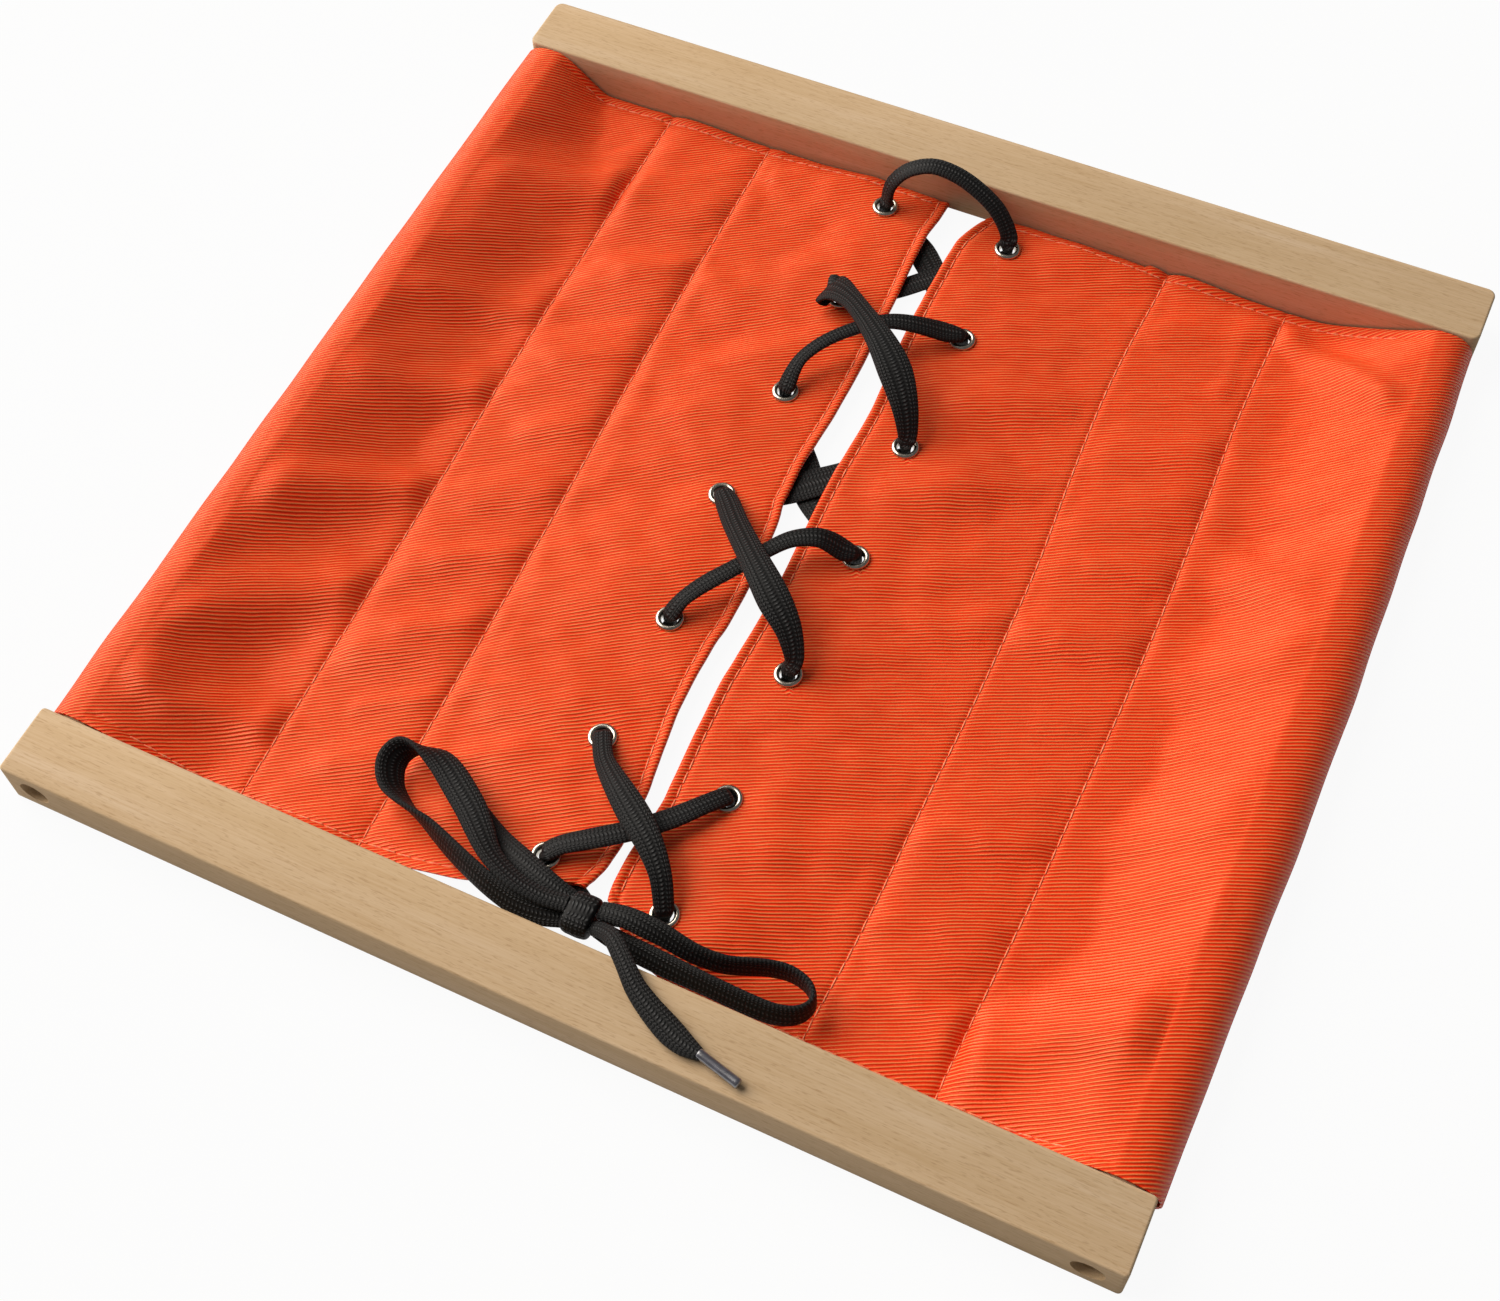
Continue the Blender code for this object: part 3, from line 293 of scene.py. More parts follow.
# The lace, in millimetres: X, Y, Z and width. The loops have the tilt of the width in degrees too, and
# the knot its thickness. In a bore it is drawn together: height, width, thickness and lean
UNDER_THICK = 1.0
OVER_THICK = 1.8
BUNCH_STEPS = ((2.25, 3.7, 1.2, 0.0), (4.3, 3.6, 2.7, 0.0), (5.6, 4.0, 2.7, 0.2), (6.6, 5.2, 2.5, 0.8))
LACE_SIDES = 20
THREADING = (
    ("under", ((0.0, -121.6, 4.6, 5.0), (-2.4, -119.5, 2.4, 5.4), (-8.5, -116.2, 1.9, 5.4))),
    ("up", (LEFT, 7)),
    ("over", (
        (-12.1, -110.0, 8.0, 5.4), (-5.2, -105.4, 9.0, 5.8), (2.6, -99.4, 9.0, 5.8),
        (9.8, -92.4, 8.8, 5.8), (14.9, -86.0, 8.3, 5.4),
    )),
    ("down", (RIGHT, 6)),
    ("under", ((19.2, -73.0, 1.9, 5.4), (18.4, -60.0, 1.9, 5.4), (17.9, -47.0, 1.9, 5.4))),
    ("up", (RIGHT, 5)),
    ("over", (
        (18.6, -37.2, 10.0, 5.4), (14.7, -32.3, 14.2, 7.4), (8.6, -27.3, 16.6, 9.4), (1.9, -21.2, 16.9, 8.8),
        (-5.4, -14.1, 14.9, 7.8), (-13.7, -5.3, 11.2, 7.4), (-19.6, 1.8, 8.2, 6.8),
    )),
    ("down", (LEFT, 4)),
    ("under", (
        (-19.2, 7.6, 1.9, 6.0), (-14.5, 10.6, 1.9, 7.6), (-8.8, 15.0, 2.0, 9.0), (-3.4, 19.8, 2.25, 9.6),
        (2.6, 25.4, 2.2, 9.0), (8.5, 31.6, 1.95, 7.8), (13.4, 37.0, 1.9, 6.2),
    )),
    ("up", (RIGHT, 3)),
    ("over", (
        (16.8, 43.4, 9.0, 5.8), (13.7, 48.2, 14.0, 7.8), (7.3, 55.8, 17.9, 10.0), (-1.3, 64.5, 18.6, 8.4),
        (-11.8, 74.7, 15.0, 6.8), (-17.6, 79.4, 12.6, 7.8), (-22.0, 82.0, 10.6, 10.6),
        (-24.4, 82.8, 9.0, 12.4), (-25.0, 83.1, 7.8, 10.2),
    )),
    ("down", (LEFT, 2)),
    ("under", (
        (-18.5, 87.6, 1.9, 5.8), (-13.0, 92.2, 1.9, 6.4), (-7.5, 97.2, 2.1, 6.8), (-3.0, 101.8, 2.25, 6.8),
        (0.2, 104.9, 2.3, 6.8), (4.0, 108.8, 2.2, 6.8), (9.0, 114.0, 1.95, 6.4), (13.0, 118.2, 1.9, 5.8),
    )),
    ("up", (RIGHT, 1)),
    ("over", (
        (15.3, 124.0, 9.0, 5.2), (9.4, 127.6, 14.0, 5.8), (-1.4, 130.2, 18.4, 6.0), (-11.8, 130.2, 20.0, 6.0),
        (-19.6, 127.6, 17.2, 5.8), (-23.4, 124.8, 12.0, 5.2),
    )),
    ("down", (LEFT, 1)),
    ("under", (
        (-19.5, 119.9, 1.9, 6.4), (-13.5, 116.8, 1.8, 8.0), (-8.0, 113.2, 1.5, 8.8), (-3.0, 108.6, 1.1, 8.4),
        (0.2, 105.0, 1.0, 8.0), (3.6, 100.6, 1.2, 7.8), (8.6, 94.0, 1.7, 7.4), (13.6, 88.0, 1.9, 6.0),
    )),
    ("up", (RIGHT, 2)),
    ("over", (
        (11.8, 81.6, 8.5, 7.2), (4.2, 78.0, 12.0, 6.2), (-3.0, 74.6, 13.5, 5.2), (-10.3, 68.5, 13.6, 4.4),
        (-16.9, 60.8, 12.9, 4.1), (-21.1, 53.2, 10.8, 4.0),
    )),
    ("down", (LEFT, 3)),
    ("under", (
        (-18.5, 40.5, 1.9, 6.0), (-13.0, 33.0, 1.7, 8.0), (-7.6, 26.0, 1.4, 9.4), (-3.4, 20.2, 1.0, 10.0),
        (1.2, 15.4, 1.2, 9.4), (7.6, 10.2, 1.7, 8.0), (14.6, 5.0, 1.9, 6.4),
    )),
    ("up", (RIGHT, 4)),
    ("over", (
        (15.6, 0.2, 8.4, 7.4), (9.8, -1.2, 12.0, 6.4), (2.9, -5.3, 12.6, 5.2), (-2.6, -12.3, 12.0, 4.6),
        (-8.3, -20.7, 11.6, 5.0), (-12.8, -26.9, 10.8, 5.0), (-16.4, -32.9, 9.4, 4.6),
    )),
    ("down", (LEFT, 5)),
    ("under", ((-18.6, -45.0, 1.9, 5.4), (-18.4, -57.0, 1.9, 5.4), (-18.2, -69.0, 1.9, 5.4))),
    ("up", (LEFT, 6)),
    ("over", (
        (-13.4, -84.6, 9.1, 5.4), (-5.9, -91.3, 12.4, 7.2), (2.4, -97.6, 13.6, 8.4),
        (9.2, -102.9, 13.4, 7.2), (15.1, -108.9, 11.2, 5.8),
    )),
    ("down", (RIGHT, 7)),
    ("under", ((12.6, -118.0, 1.9, 5.4), (6.4, -120.2, 2.2, 5.4), (4.0, -122.2, 4.6, 5.0))),
)
LEFT_LOOP = (
    (-2.3, -128.0, 8.8, 5.0, 172),
    (-4.0, -128.4, 9.0, 5.4, 164),
    (-8.5, -129.6, 9.6, 6.2, 146),
    (-15.5, -129.8, 10.0, 6.8, 129),
    (-24.5, -127.8, 10.2, 7.2, 120),
    (-35.5, -123.9, 9.8, 7.4, 113),
    (-45.0, -120.0, 9.2, 7.4, 99),
    (-53.0, -117.2, 8.6, 7.6, 68),
    (-60.0, -113.6, 8.0, 8.2, 42),
    (-63.6, -107.8, 7.9, 8.6, 38),
    (-62.6, -103.4, 8.6, 8.2, 58),
    (-58.6, -101.8, 9.8, 7.8, 105),
    (-53.6, -102.4, 10.8, 7.8, 145),
    (-49.0, -104.2, 11.4, 8.0, 165),
    (-43.4, -107.7, 11.8, 8.3, 174),
    (-36.4, -112.6, 12.1, 8.2, 174),
    (-31.0, -117.4, 12.4, 7.4, 168),
    (-25.6, -121.8, 12.6, 6.2, 160),
    (-17.2, -125.4, 12.6, 5.6, 160),
    (-8.6, -126.2, 12.2, 5.0, 170),
    (-4.0, -125.6, 12.0, 4.8, 178),
    (-2.3, -125.4, 12.0, 4.6, 180),
)
RIGHT_LOOP = (
    (5.9, -123.4, 12.0, 4.6, 0),
    (7.6, -123.3, 12.2, 5.0, 5),
    (13.3, -122.8, 12.8, 5.6, 20),
    (22.6, -123.1, 12.6, 6.4, 50),
    (31.0, -123.8, 11.4, 7.0, 68),
    (39.6, -122.9, 10.4, 7.2, 76),
    (48.3, -119.5, 9.8, 7.2, 80),
    (54.7, -118.2, 9.6, 7.2, 82),
    (60.2, -119.6, 9.6, 7.2, 86),
    (62.6, -123.0, 9.6, 7.2, 93),
    (60.6, -126.9, 9.5, 7.2, 104),
    (55.0, -129.2, 9.5, 7.2, 112),
    (46.0, -129.5, 9.6, 7.2, 115),
    (36.0, -129.2, 9.6, 7.0, 118),
    (24.0, -128.6, 9.0, 6.4, 135),
    (13.0, -127.8, 8.6, 5.4, 160),
    (7.6, -127.0, 8.3, 4.8, 175),
    (5.9, -127.0, 8.2, 4.4, 180),
)
RIGHT_TAIL = (
    (5.9, -128.6, 11.4, 3.6),
    (7.2, -128.3, 12.0, 4.0),
    (10.0, -128.9, 14.2, 4.4),
    (13.6, -130.6, 16.4, 4.6),
    (19.5, -135.6, 17.2, 4.8),
    (24.0, -139.4, 17.0, 5.4),
    (29.5, -142.6, 16.8, 6.2),
    (36.0, -145.6, 16.6, 6.8),
    (41.0, -147.3, 16.6, 5.6),
    (45.8, -148.0, 16.6, 2.8),
)
LEFT_TAIL = (
    (-2.3, -122.6, 9.4, 4.6),
    (-4.0, -122.6, 9.6, 5.0),
    (-10.7, -121.4, 10.2, 6.0),
    (-19.0, -118.8, 9.6, 6.6),
    (-27.4, -115.6, 8.0, 6.4),
    (-35.6, -110.8, 6.6, 5.4),
    (-42.0, -106.0, 6.2, 2.6),
)
KNOT = (
    (-1.9, -126.0, 10.0, 8.4, 5.6),
    (-1.6, -126.0, 10.0, 9.8, 6.9),
    (-0.7, -126.0, 10.0, 10.7, 7.7),
    (0.6, -125.9, 10.0, 10.9, 7.9),
    (2.2, -125.9, 10.0, 11.0, 8.0),
    (3.6, -125.8, 10.0, 10.9, 7.9),
    (4.7, -125.8, 10.0, 10.6, 7.6),
    (5.3, -125.8, 10.0, 9.7, 6.8),
    (5.5, -125.8, 10.0, 8.4, 5.6),
)
RIGHT_AGLET = (Vector((44.6, -147.7, 16.7)), Vector((56.6, -150.6, 16.7)))
LEFT_AGLET = (Vector((-40.8, -106.4, 6.2)), Vector((-52.6, -101.6, 5.8)))
AGLET_RADIUS = 1.4 * MM
# The tube's radius in shares, by the distance in millimetres from its mouth and from its tip
AGLET_MOUTH_SHARES = ((0.0, 0.0), (0.8, 0.0), (0.96, 0.15), (1.0, 0.5), (0.94, 2.0))
AGLET_TIP_SHARES = ((0.94, 1.0), (0.97, 0.5), (0.8, 0.12), (0.0, 0.0))
AGLET_SIDES = 24
KNOT_SIDES = 40
SQUARE_ACROSS = 0.6
SQUARE_THROUGH = 0.8
STEEPEST_LEVEL_SHARE = 0.35
LEVEL_ROUNDS = 6
# Way round the flat braid, across which its columns of plaits are laid
LACE_GIRTH = 14.0 * MM

# Numbers of the Mix node's colour sockets
MIX_FACTOR, MIX_A, MIX_B = 0, 6, 7
MIX_RESULT = 2
MULTIPLY = {"data_type": "RGBA", "blend_type": "MULTIPLY"}


def paint(hex_colour):
    """An sRGB hex colour as linear red, green, blue and alpha."""
    channels = [int(hex_colour[place:place + 2], 16) / 255 for place in (1, 3, 5)]
    return (*[c / 12.92 if c <= 0.04045 else ((c + 0.055) / 1.055) ** 2.4 for c in channels], 1.0)


def add(material, kind, inputs=None, stops=(), **settings):
    """One node of this kind with its settings and colour stops. An input is set to a value or linked."""
    tree = material.node_tree
    node = tree.nodes.new(kind)
    for name, value in settings.items():
        setattr(node, name, value)
    for index, (place, hex_colour) in enumerate(stops):
        elements = node.color_ramp.elements
        element = elements[index] if index < 2 else elements.new(1.0)
        element.position = place
        element.color = paint(hex_colour)
    for name, value in (inputs or {}).items():
        if isinstance(value, bpy.types.NodeSocket):
            tree.links.new(value, node.inputs[name])
        else:
            node.inputs[name].default_value = value
    return node


def new_finish(name, **values):
    """A material and its Principled shader, whose sockets take these values."""
    material = bpy.data.materials.new(name)
    material.use_nodes = True
    shader = material.node_tree.nodes["Principled BSDF"]
    for socket, value in values.items():
        shader.inputs[socket.replace("_", " ")].default_value = value
    return material, shader


def join(material, source, shader, socket):
    """Links a node's output to one of the shader's sockets."""
    material.node_tree.links.new(source, shader.inputs[socket])


# Wood: beech, planed and clear-waxed. Even pale tan with fine short grey-brown flecks that run with the
# grain, broad faint tone bands, and a soft gloss
def waxed_beech(name, along_y=False):
    material, shader = new_finish(name, Roughness=0.7, Specular_IOR_Level=0.15)
    place = add(material, "ShaderNodeTexCoord").outputs["Object"]
    turn = (0, 0, math.pi / 2) if along_y else (0, 0, 0)
    grained = add(material, "ShaderNodeMapping", {"Vector": place, "Rotation": turn}).outputs["Vector"]

    def stretched(length_mm, width_mm, detail):
        scale = (1 / (length_mm * MM), 1 / (width_mm * MM), 1 / (width_mm * MM))
        mapped = add(material, "ShaderNodeMapping", {"Vector": grained, "Scale": scale}).outputs["Vector"]
        inputs = {"Vector": mapped, "Scale": 1.0, "Detail": detail, "Roughness": 0.6}
        return add(material, "ShaderNodeTexNoise", inputs).outputs["Fac"]

    bands = stretched(120, 8, 3)
    fibres = stretched(18, 0.5, 2)
    flecks = stretched(3.0, 0.36, 1)
    tones = ((0.3, "#CBAE88"), (0.55, "#D2B692"), (0.75, "#D9BF9F"))
    tone = add(material, "ShaderNodeValToRGB", {"Fac": bands}, tones).outputs["Color"]
    streaks = ((0.3, "#E8DDCB"), (0.6, "#FFFFFF"))
    streak = add(material, "ShaderNodeValToRGB", {"Fac": fibres}, streaks).outputs["Color"]
    spots = ((0.58, "#FFFFFF"), (0.70, "#B79C7C"))
    spot = add(material, "ShaderNodeValToRGB", {"Fac": flecks}, spots).outputs["Color"]
    fibred = add(material, "ShaderNodeMix", {MIX_FACTOR: 0.5, MIX_A: tone, MIX_B: streak}, **MULTIPLY)
    fibred = fibred.outputs[MIX_RESULT]
    flecked = add(material, "ShaderNodeMix", {MIX_FACTOR: 0.3, MIX_A: fibred, MIX_B: spot}, **MULTIPLY)
    join(material, flecked.outputs[MIX_RESULT], shader, "Base Color")
    bump = add(material, "ShaderNodeBump", {"Height": fibres, "Strength": 0.25, "Distance": 0.04 * MM})
    join(material, bump.outputs["Normal"], shader, "Normal")
    return material


# Cloth: cotton twill with a bold rib, its lines 0.95 mm apart, a hot orange red from piece-dyeing. Each rib
# has painted light on its crest and painted deep red shade beside it, laid into its colour. The calendered
# face has a broad warm gloss, which the loose fibres take away where the cloth turns from the eye
def cotton_twill():
    material, shader = new_finish(
        "cotton_twill_orange", Roughness=0.42, Sheen_Weight=0.03, Sheen_Roughness=0.5
    )
    shader.inputs["Specular Tint"].default_value = paint("#FFB487")
    shader.inputs["Sheen Tint"].default_value = paint("#FF5A20")
    turned = add(material, "ShaderNodeLayerWeight").outputs["Facing"]
    levels = {"Value": turned, "From Min": 0.4, "From Max": 0.85, "To Min": 1.0, "To Max": 0.0}
    gloss = add(material, "ShaderNodeMapRange", levels)
    join(material, gloss.outputs["Result"], shader, "Specular IOR Level")
    surface = add(material, "ShaderNodeUVMap", uv_map="cloth").outputs["UV"]
    wander = add(material, "ShaderNodeTexNoise", {"Vector": surface, "Scale": 1 / (14 * MM), "Detail": 2.0})
    wandered = {0: wander.outputs["Color"], "Scale": 1.0 * MM}
    drift = add(material, "ShaderNodeVectorMath", wandered, operation="SCALE").outputs["Vector"]
    yarn = add(material, "ShaderNodeVectorMath", {0: surface, 1: drift}, operation="ADD").outputs["Vector"]
    rib_bands = {"Vector": yarn, "Scale": band_scale(RIB_PITCH)}
    ribs = add(material, "ShaderNodeTexWave", rib_bands, bands_direction="Y").outputs["Fac"]
    slubs = add(material, "ShaderNodeMapping", {"Vector": yarn, "Scale": (1 / (7 * MM), 1 / (0.8 * MM), 1.0)})
    slub_noise = {"Vector": slubs.outputs["Vector"], "Scale": 1.0, "Detail": 2.0}
    slub = add(material, "ShaderNodeTexNoise", slub_noise).outputs["Fac"]
    fuzz_noise = {"Vector": yarn, "Scale": 1 / (0.5 * MM), "Detail": 1.0}
    fuzz = add(material, "ShaderNodeTexNoise", fuzz_noise).outputs["Fac"]
    slubbed = {0: slub, 1: 0.5, 2: ribs}
    weave = add(material, "ShaderNodeMath", slubbed, operation="MULTIPLY_ADD").outputs["Value"]
    fuzzed = {0: fuzz, 1: 0.3, 2: weave}
    relief = add(material, "ShaderNodeMath", fuzzed, operation="MULTIPLY_ADD").outputs["Value"]
    heights = {"Value": relief, "From Min": 0.2, "From Max": 1.5}
    tone = add(material, "ShaderNodeMapRange", heights).outputs["Result"]
    # Painted light and shade: by the rib's height, the colour goes from deep red beside the rib to pale
    # orange on its crest
    ramp_stops = ((0.05, "#DC1A00"), (0.3, "#FF2C00"), (0.6, "#FF4A10"), (0.95, "#FF9056"))
    ramp_colour = add(material, "ShaderNodeValToRGB", {"Fac": tone}, ramp_stops).outputs["Color"]
    wear = add(material, "ShaderNodeTexNoise", {"Vector": surface, "Scale": 1 / (28 * MM), "Detail": 3.0})
    fades = ((0.3, "#F2E4E0"), (0.7, "#FFFFFF"))
    faded = add(material, "ShaderNodeValToRGB", {"Fac": wear.outputs["Fac"]}, fades).outputs["Color"]
    worn = add(material, "ShaderNodeMix", {MIX_FACTOR: 0.4, MIX_A: ramp_colour, MIX_B: faded}, **MULTIPLY)
    join(material, worn.outputs[MIX_RESULT], shader, "Base Color")
    bump = add(material, "ShaderNodeBump", {"Height": relief, "Strength": 1.0, "Distance": 0.22 * MM})
    join(material, bump.outputs["Normal"], shader, "Normal")
    return material


def band_scale(pitch):
    """The Wave texture's scale for bands this far apart. It makes one band for each 2 pi / 20."""
    return 2 * math.pi / (20 * pitch)


# Sewing thread: spun polyester, a salmon shade paler than the cloth, with a slight gloss on its twist
def sewing_thread():
    material, shader = new_finish("polyester_thread_orange", Roughness=0.55, Sheen_Weight=0.3)
    place = add(material, "ShaderNodeTexCoord").outputs["Object"]
    twist = add(material, "ShaderNodeTexNoise", {"Vector": place, "Scale": 1 / (0.5 * MM), "Detail": 1.0})
    ramp_stops = ((0.3, "#FF7440"), (0.7, "#FFA274"))
    ramp_colour = add(material, "ShaderNodeValToRGB", {"Fac": twist.outputs["Fac"]}, ramp_stops)
    join(material, ramp_colour.outputs["Color"], shader, "Base Color")
    return material


# Lace: flat tubular braid of black polyester. Plaits stand in columns of small chevrons, each crest with a
# painted grey highlight, and loose fibres give a grey bloom at a low angle
def black_braid():
    material, shader = new_finish(
        "polyester_braid_black", Roughness=0.6, Specular_IOR_Level=0.3, Sheen_Weight=0.07, Sheen_Roughness=0.4
    )
    shader.inputs["Sheen Tint"].default_value = paint("#8C8C90")
    surface = add(material, "ShaderNodeUVMap", uv_map="braid").outputs["UV"]
    split = add(material, "ShaderNodeSeparateXYZ", {"Vector": surface})
    half_column = 0.58 * MM
    plait_pitch = 1.05 * MM
    folded = {0: split.outputs["X"], 1: half_column}
    column = add(material, "ShaderNodeMath", folded, operation="PINGPONG").outputs["Value"]
    slanted = {0: column, 1: 0.7, 2: split.outputs["Y"]}
    chevron = add(material, "ShaderNodeMath", slanted, operation="MULTIPLY_ADD").outputs["Value"]
    along = add(material, "ShaderNodeCombineXYZ", {"X": chevron}).outputs["Vector"]
    plait_bands = {"Vector": along, "Scale": band_scale(plait_pitch)}
    plaits = add(material, "ShaderNodeTexWave", plait_bands).outputs["Fac"]
    shared = {0: column, 1: 1 / half_column}
    across = add(material, "ShaderNodeMath", shared, operation="MULTIPLY").outputs["Value"]
    edges = add(material, "ShaderNodeMath", {0: across, 1: 0.5}, operation="PINGPONG").outputs["Value"]
    crests = add(material, "ShaderNodeMath", {0: edges, 1: plaits}, operation="MULTIPLY").outputs["Value"]
    # Painted highlight: the plaits' crests go from black to grey
    black_and_painted_plait_highlight = ((0.08, "#040404"), (0.28, "#0F0F10"), (0.46, "#4A4B4C"))
    black = add(material, "ShaderNodeValToRGB", {"Fac": crests}, black_and_painted_plait_highlight)
    join(material, black.outputs["Color"], shader, "Base Color")
    bump = add(material, "ShaderNodeBump", {"Height": crests, "Strength": 1.0, "Distance": 0.4 * MM})
    join(material, bump.outputs["Normal"], shader, "Normal")
    return material


# Eyelets: brass, stamped and nickel-plated. Warm white metal, bright, with faint rub marks
def plated_nickel():
    material, shader = new_finish("nickel_plate_stamped", Metallic=1.0)
    place = add(material, "ShaderNodeTexCoord").outputs["Object"]
    rub_noise = {"Vector": place, "Scale": 1 / (1.1 * MM), "Detail": 3.0}
    rubs = add(material, "ShaderNodeTexNoise", rub_noise).outputs["Fac"]
    whites = ((0.3, "#B8B0A2"), (0.7, "#D3CCBE"))
    white = add(material, "ShaderNodeValToRGB", {"Fac": rubs}, whites)
    join(material, white.outputs["Color"], shader, "Base Color")
    gloss = add(material, "ShaderNodeMapRange", {"Value": rubs, "To Min": 0.14, "To Max": 0.32})
    join(material, gloss.outputs["Result"], shader, "Roughness")
    return material


# Screws: steel, cold-headed and zinc-plated. Bluish grey with a satin gloss
def plated_zinc():
    material, shader = new_finish("zinc_plated_steel", Metallic=1.0)
    place = add(material, "ShaderNodeTexCoord").outputs["Object"]
    bloom_noise = {"Vector": place, "Scale": 1 / (1.6 * MM), "Detail": 3.0}
    bloom = add(material, "ShaderNodeTexNoise", bloom_noise).outputs["Fac"]
    greys = ((0.3, "#9FA1A3"), (0.7, "#C4C6C8"))
    grey = add(material, "ShaderNodeValToRGB", {"Fac": bloom}, greys)
    join(material, grey.outputs["Color"], shader, "Base Color")
    gloss = add(material, "ShaderNodeMapRange", {"Value": bloom, "To Min": 0.25, "To Max": 0.45})
    join(material, gloss.outputs["Result"], shader, "Roughness")
    return material


# Aglets: acetate film, rolled and bonded over the lace's end. Glossy and a little milky over the dark
# braid, so that the window draws a broad pale streak on it
def acetate_film():
    material, shader = new_finish(
        "acetate_film_dark", Roughness=0.3, Specular_IOR_Level=1.0,
        Coat_Weight=1.0, Coat_Roughness=0.22, Coat_IOR=1.8,
    )
    place = add(material, "ShaderNodeTexCoord").outputs["Object"]
    wrap_noise = {"Vector": place, "Scale": 1 / (1.5 * MM), "Detail": 2.0}
    wraps = add(material, "ShaderNodeTexNoise", wrap_noise).outputs["Fac"]
    darks = ((0.3, "#36363E"), (0.7, "#54545F"))
    dark = add(material, "ShaderNodeValToRGB", {"Fac": wraps}, darks)
    join(material, dark.outputs["Color"], shader, "Base Color")
    bump = add(material, "ShaderNodeBump", {"Height": wraps, "Strength": 0.2, "Distance": 0.1 * MM})
    join(material, bump.outputs["Normal"], shader, "Normal")
    return material


BEECH = waxed_beech("beech_planed_waxed")
BEECH_ALONG_Y = waxed_beech("beech_planed_waxed_side", along_y=True)
TWILL = cotton_twill()
THREAD = sewing_thread()
BRAID = black_braid()
NICKEL = plated_nickel()
ZINC = plated_zinc()
FILM = acetate_film()


def new_object(name, data):
    """An object with this data, in the scene."""
    made = bpy.data.objects.new(name, data)
    bpy.context.scene.collection.objects.link(made)
    return made


def mesh_from(name, shape):
    """The bmesh as a mesh."""
    mesh = bpy.data.meshes.new(name)
    shape.to_mesh(mesh)
    shape.free()
    return mesh


def piece_from(name, shape, material):
    """The bmesh as a piece of the dressed part."""
    mesh = mesh_from(name, shape)
    mesh.materials.append(material)
    mesh.shade_smooth()
    piece = new_object(name, mesh)
    return piece


def settle(piece):
    """Applies the piece's modifiers to its mesh."""
    bpy.context.view_layer.update()
    evaluated = piece.evaluated_get(bpy.context.evaluated_depsgraph_get())
    mesh = bpy.data.meshes.new_from_object(evaluated)
    piece.modifiers.clear()
    piece.data = mesh


def cut_away(piece, cutters):
    """Cuts each cutter bmesh out of the piece."""
    for shape in cutters:
        tool = new_object("cutter", mesh_from("cutter", shape))
        modifier = piece.modifiers.new("cut", "BOOLEAN")
        modifier.operation = "DIFFERENCE"
        modifier.object = tool
        settle(piece)
        bpy.data.objects.remove(tool)


def turned_from(profile, steps, closed=False):
    """A shape turned round Z from its profile of (radius, height) points."""
    shape = bmesh.new()
    points = [shape.verts.new((radius, 0, height)) for radius, height in profile]
    nexts = points[1:] + points[:1] if closed else points[1:]
    line = [shape.edges.new(pair) for pair in zip(points, nexts)]
    bmesh.ops.spin(
        shape, geom=points + line, cent=(0, 0, 0), axis=(0, 0, 1),
        angle=2 * math.pi, steps=steps, use_merge=True,
    )
    bmesh.ops.remove_doubles(shape, verts=shape.verts, dist=MERGE_DISTANCE)
    bmesh.ops.recalc_face_normals(shape, faces=shape.faces)
    return shape


def rod_along_y(radius, x, z, start, end, sides=40):
    """A closed cylinder whose axis runs along Y."""
    shape = bmesh.new()
    turned = Matrix.Translation((x, (start + end) / 2, z)) @ Matrix.Rotation(math.pi / 2, 4, "X")
    bmesh.ops.create_cone(
        shape, cap_ends=True, segments=sides, radius1=radius, radius2=radius,
        depth=abs(end - start), matrix=turned,
    )
    bmesh.ops.recalc_face_normals(shape, faces=shape.faces)
    return shape


def block(low, high):
    """A box between two corners."""
    shape = bmesh.new()
    bmesh.ops.create_cube(shape, size=1.0)
    bmesh.ops.scale(shape, vec=high - low, verts=shape.verts)
    bmesh.ops.translate(shape, vec=(low + high) / 2, verts=shape.verts)
    return shape


def ease(shape, edges, offset, segments):
    """Rounds these edges."""
    bmesh.ops.bevel(
        shape, geom=edges, offset=offset, segments=segments, profile=0.5, affect="EDGES", material=-1
    )


def bare_rail(name, corner_round, face_side):
    """A planed rail with eased edges and two counterbored screw holes in its outer face."""
    low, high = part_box(name)
    shape = block(low, high)
    upright = [e for e in shape.edges if abs((e.verts[0].co - e.verts[1].co).normalized().z) > 0.9]
    ease(shape, upright, corner_round, 5)
    level = [e for e in shape.edges if e.calc_face_angle(0) > math.radians(60)]
    ease(shape, level, RAIL_EDGE_ROUND, 3)
    piece = piece_from(f"{name}_beech", shape, BEECH)
    outer = high.y if face_side > 0 else low.y
    floor = outer - face_side * COUNTERBORE_DEPTH
    mouth = outer + face_side * CUT_OVERRUN
    holes = []
    for side in (LEFT, RIGHT):
        x, z = side * SIDE_MIDDLE.x, SIDE_MIDDLE.z
        holes.append(rod_along_y(COUNTERBORE_RADIUS, x, z, floor, mouth))
        holes.append(rod_along_y(SHANK_HOLE_RADIUS, x, z, low.y - CUT_OVERRUN, high.y + CUT_OVERRUN))
    cut_away(piece, holes)
    piece.data.set_sharp_from_angle(angle=math.radians(40))
    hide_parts(name)
    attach(piece, "frame")


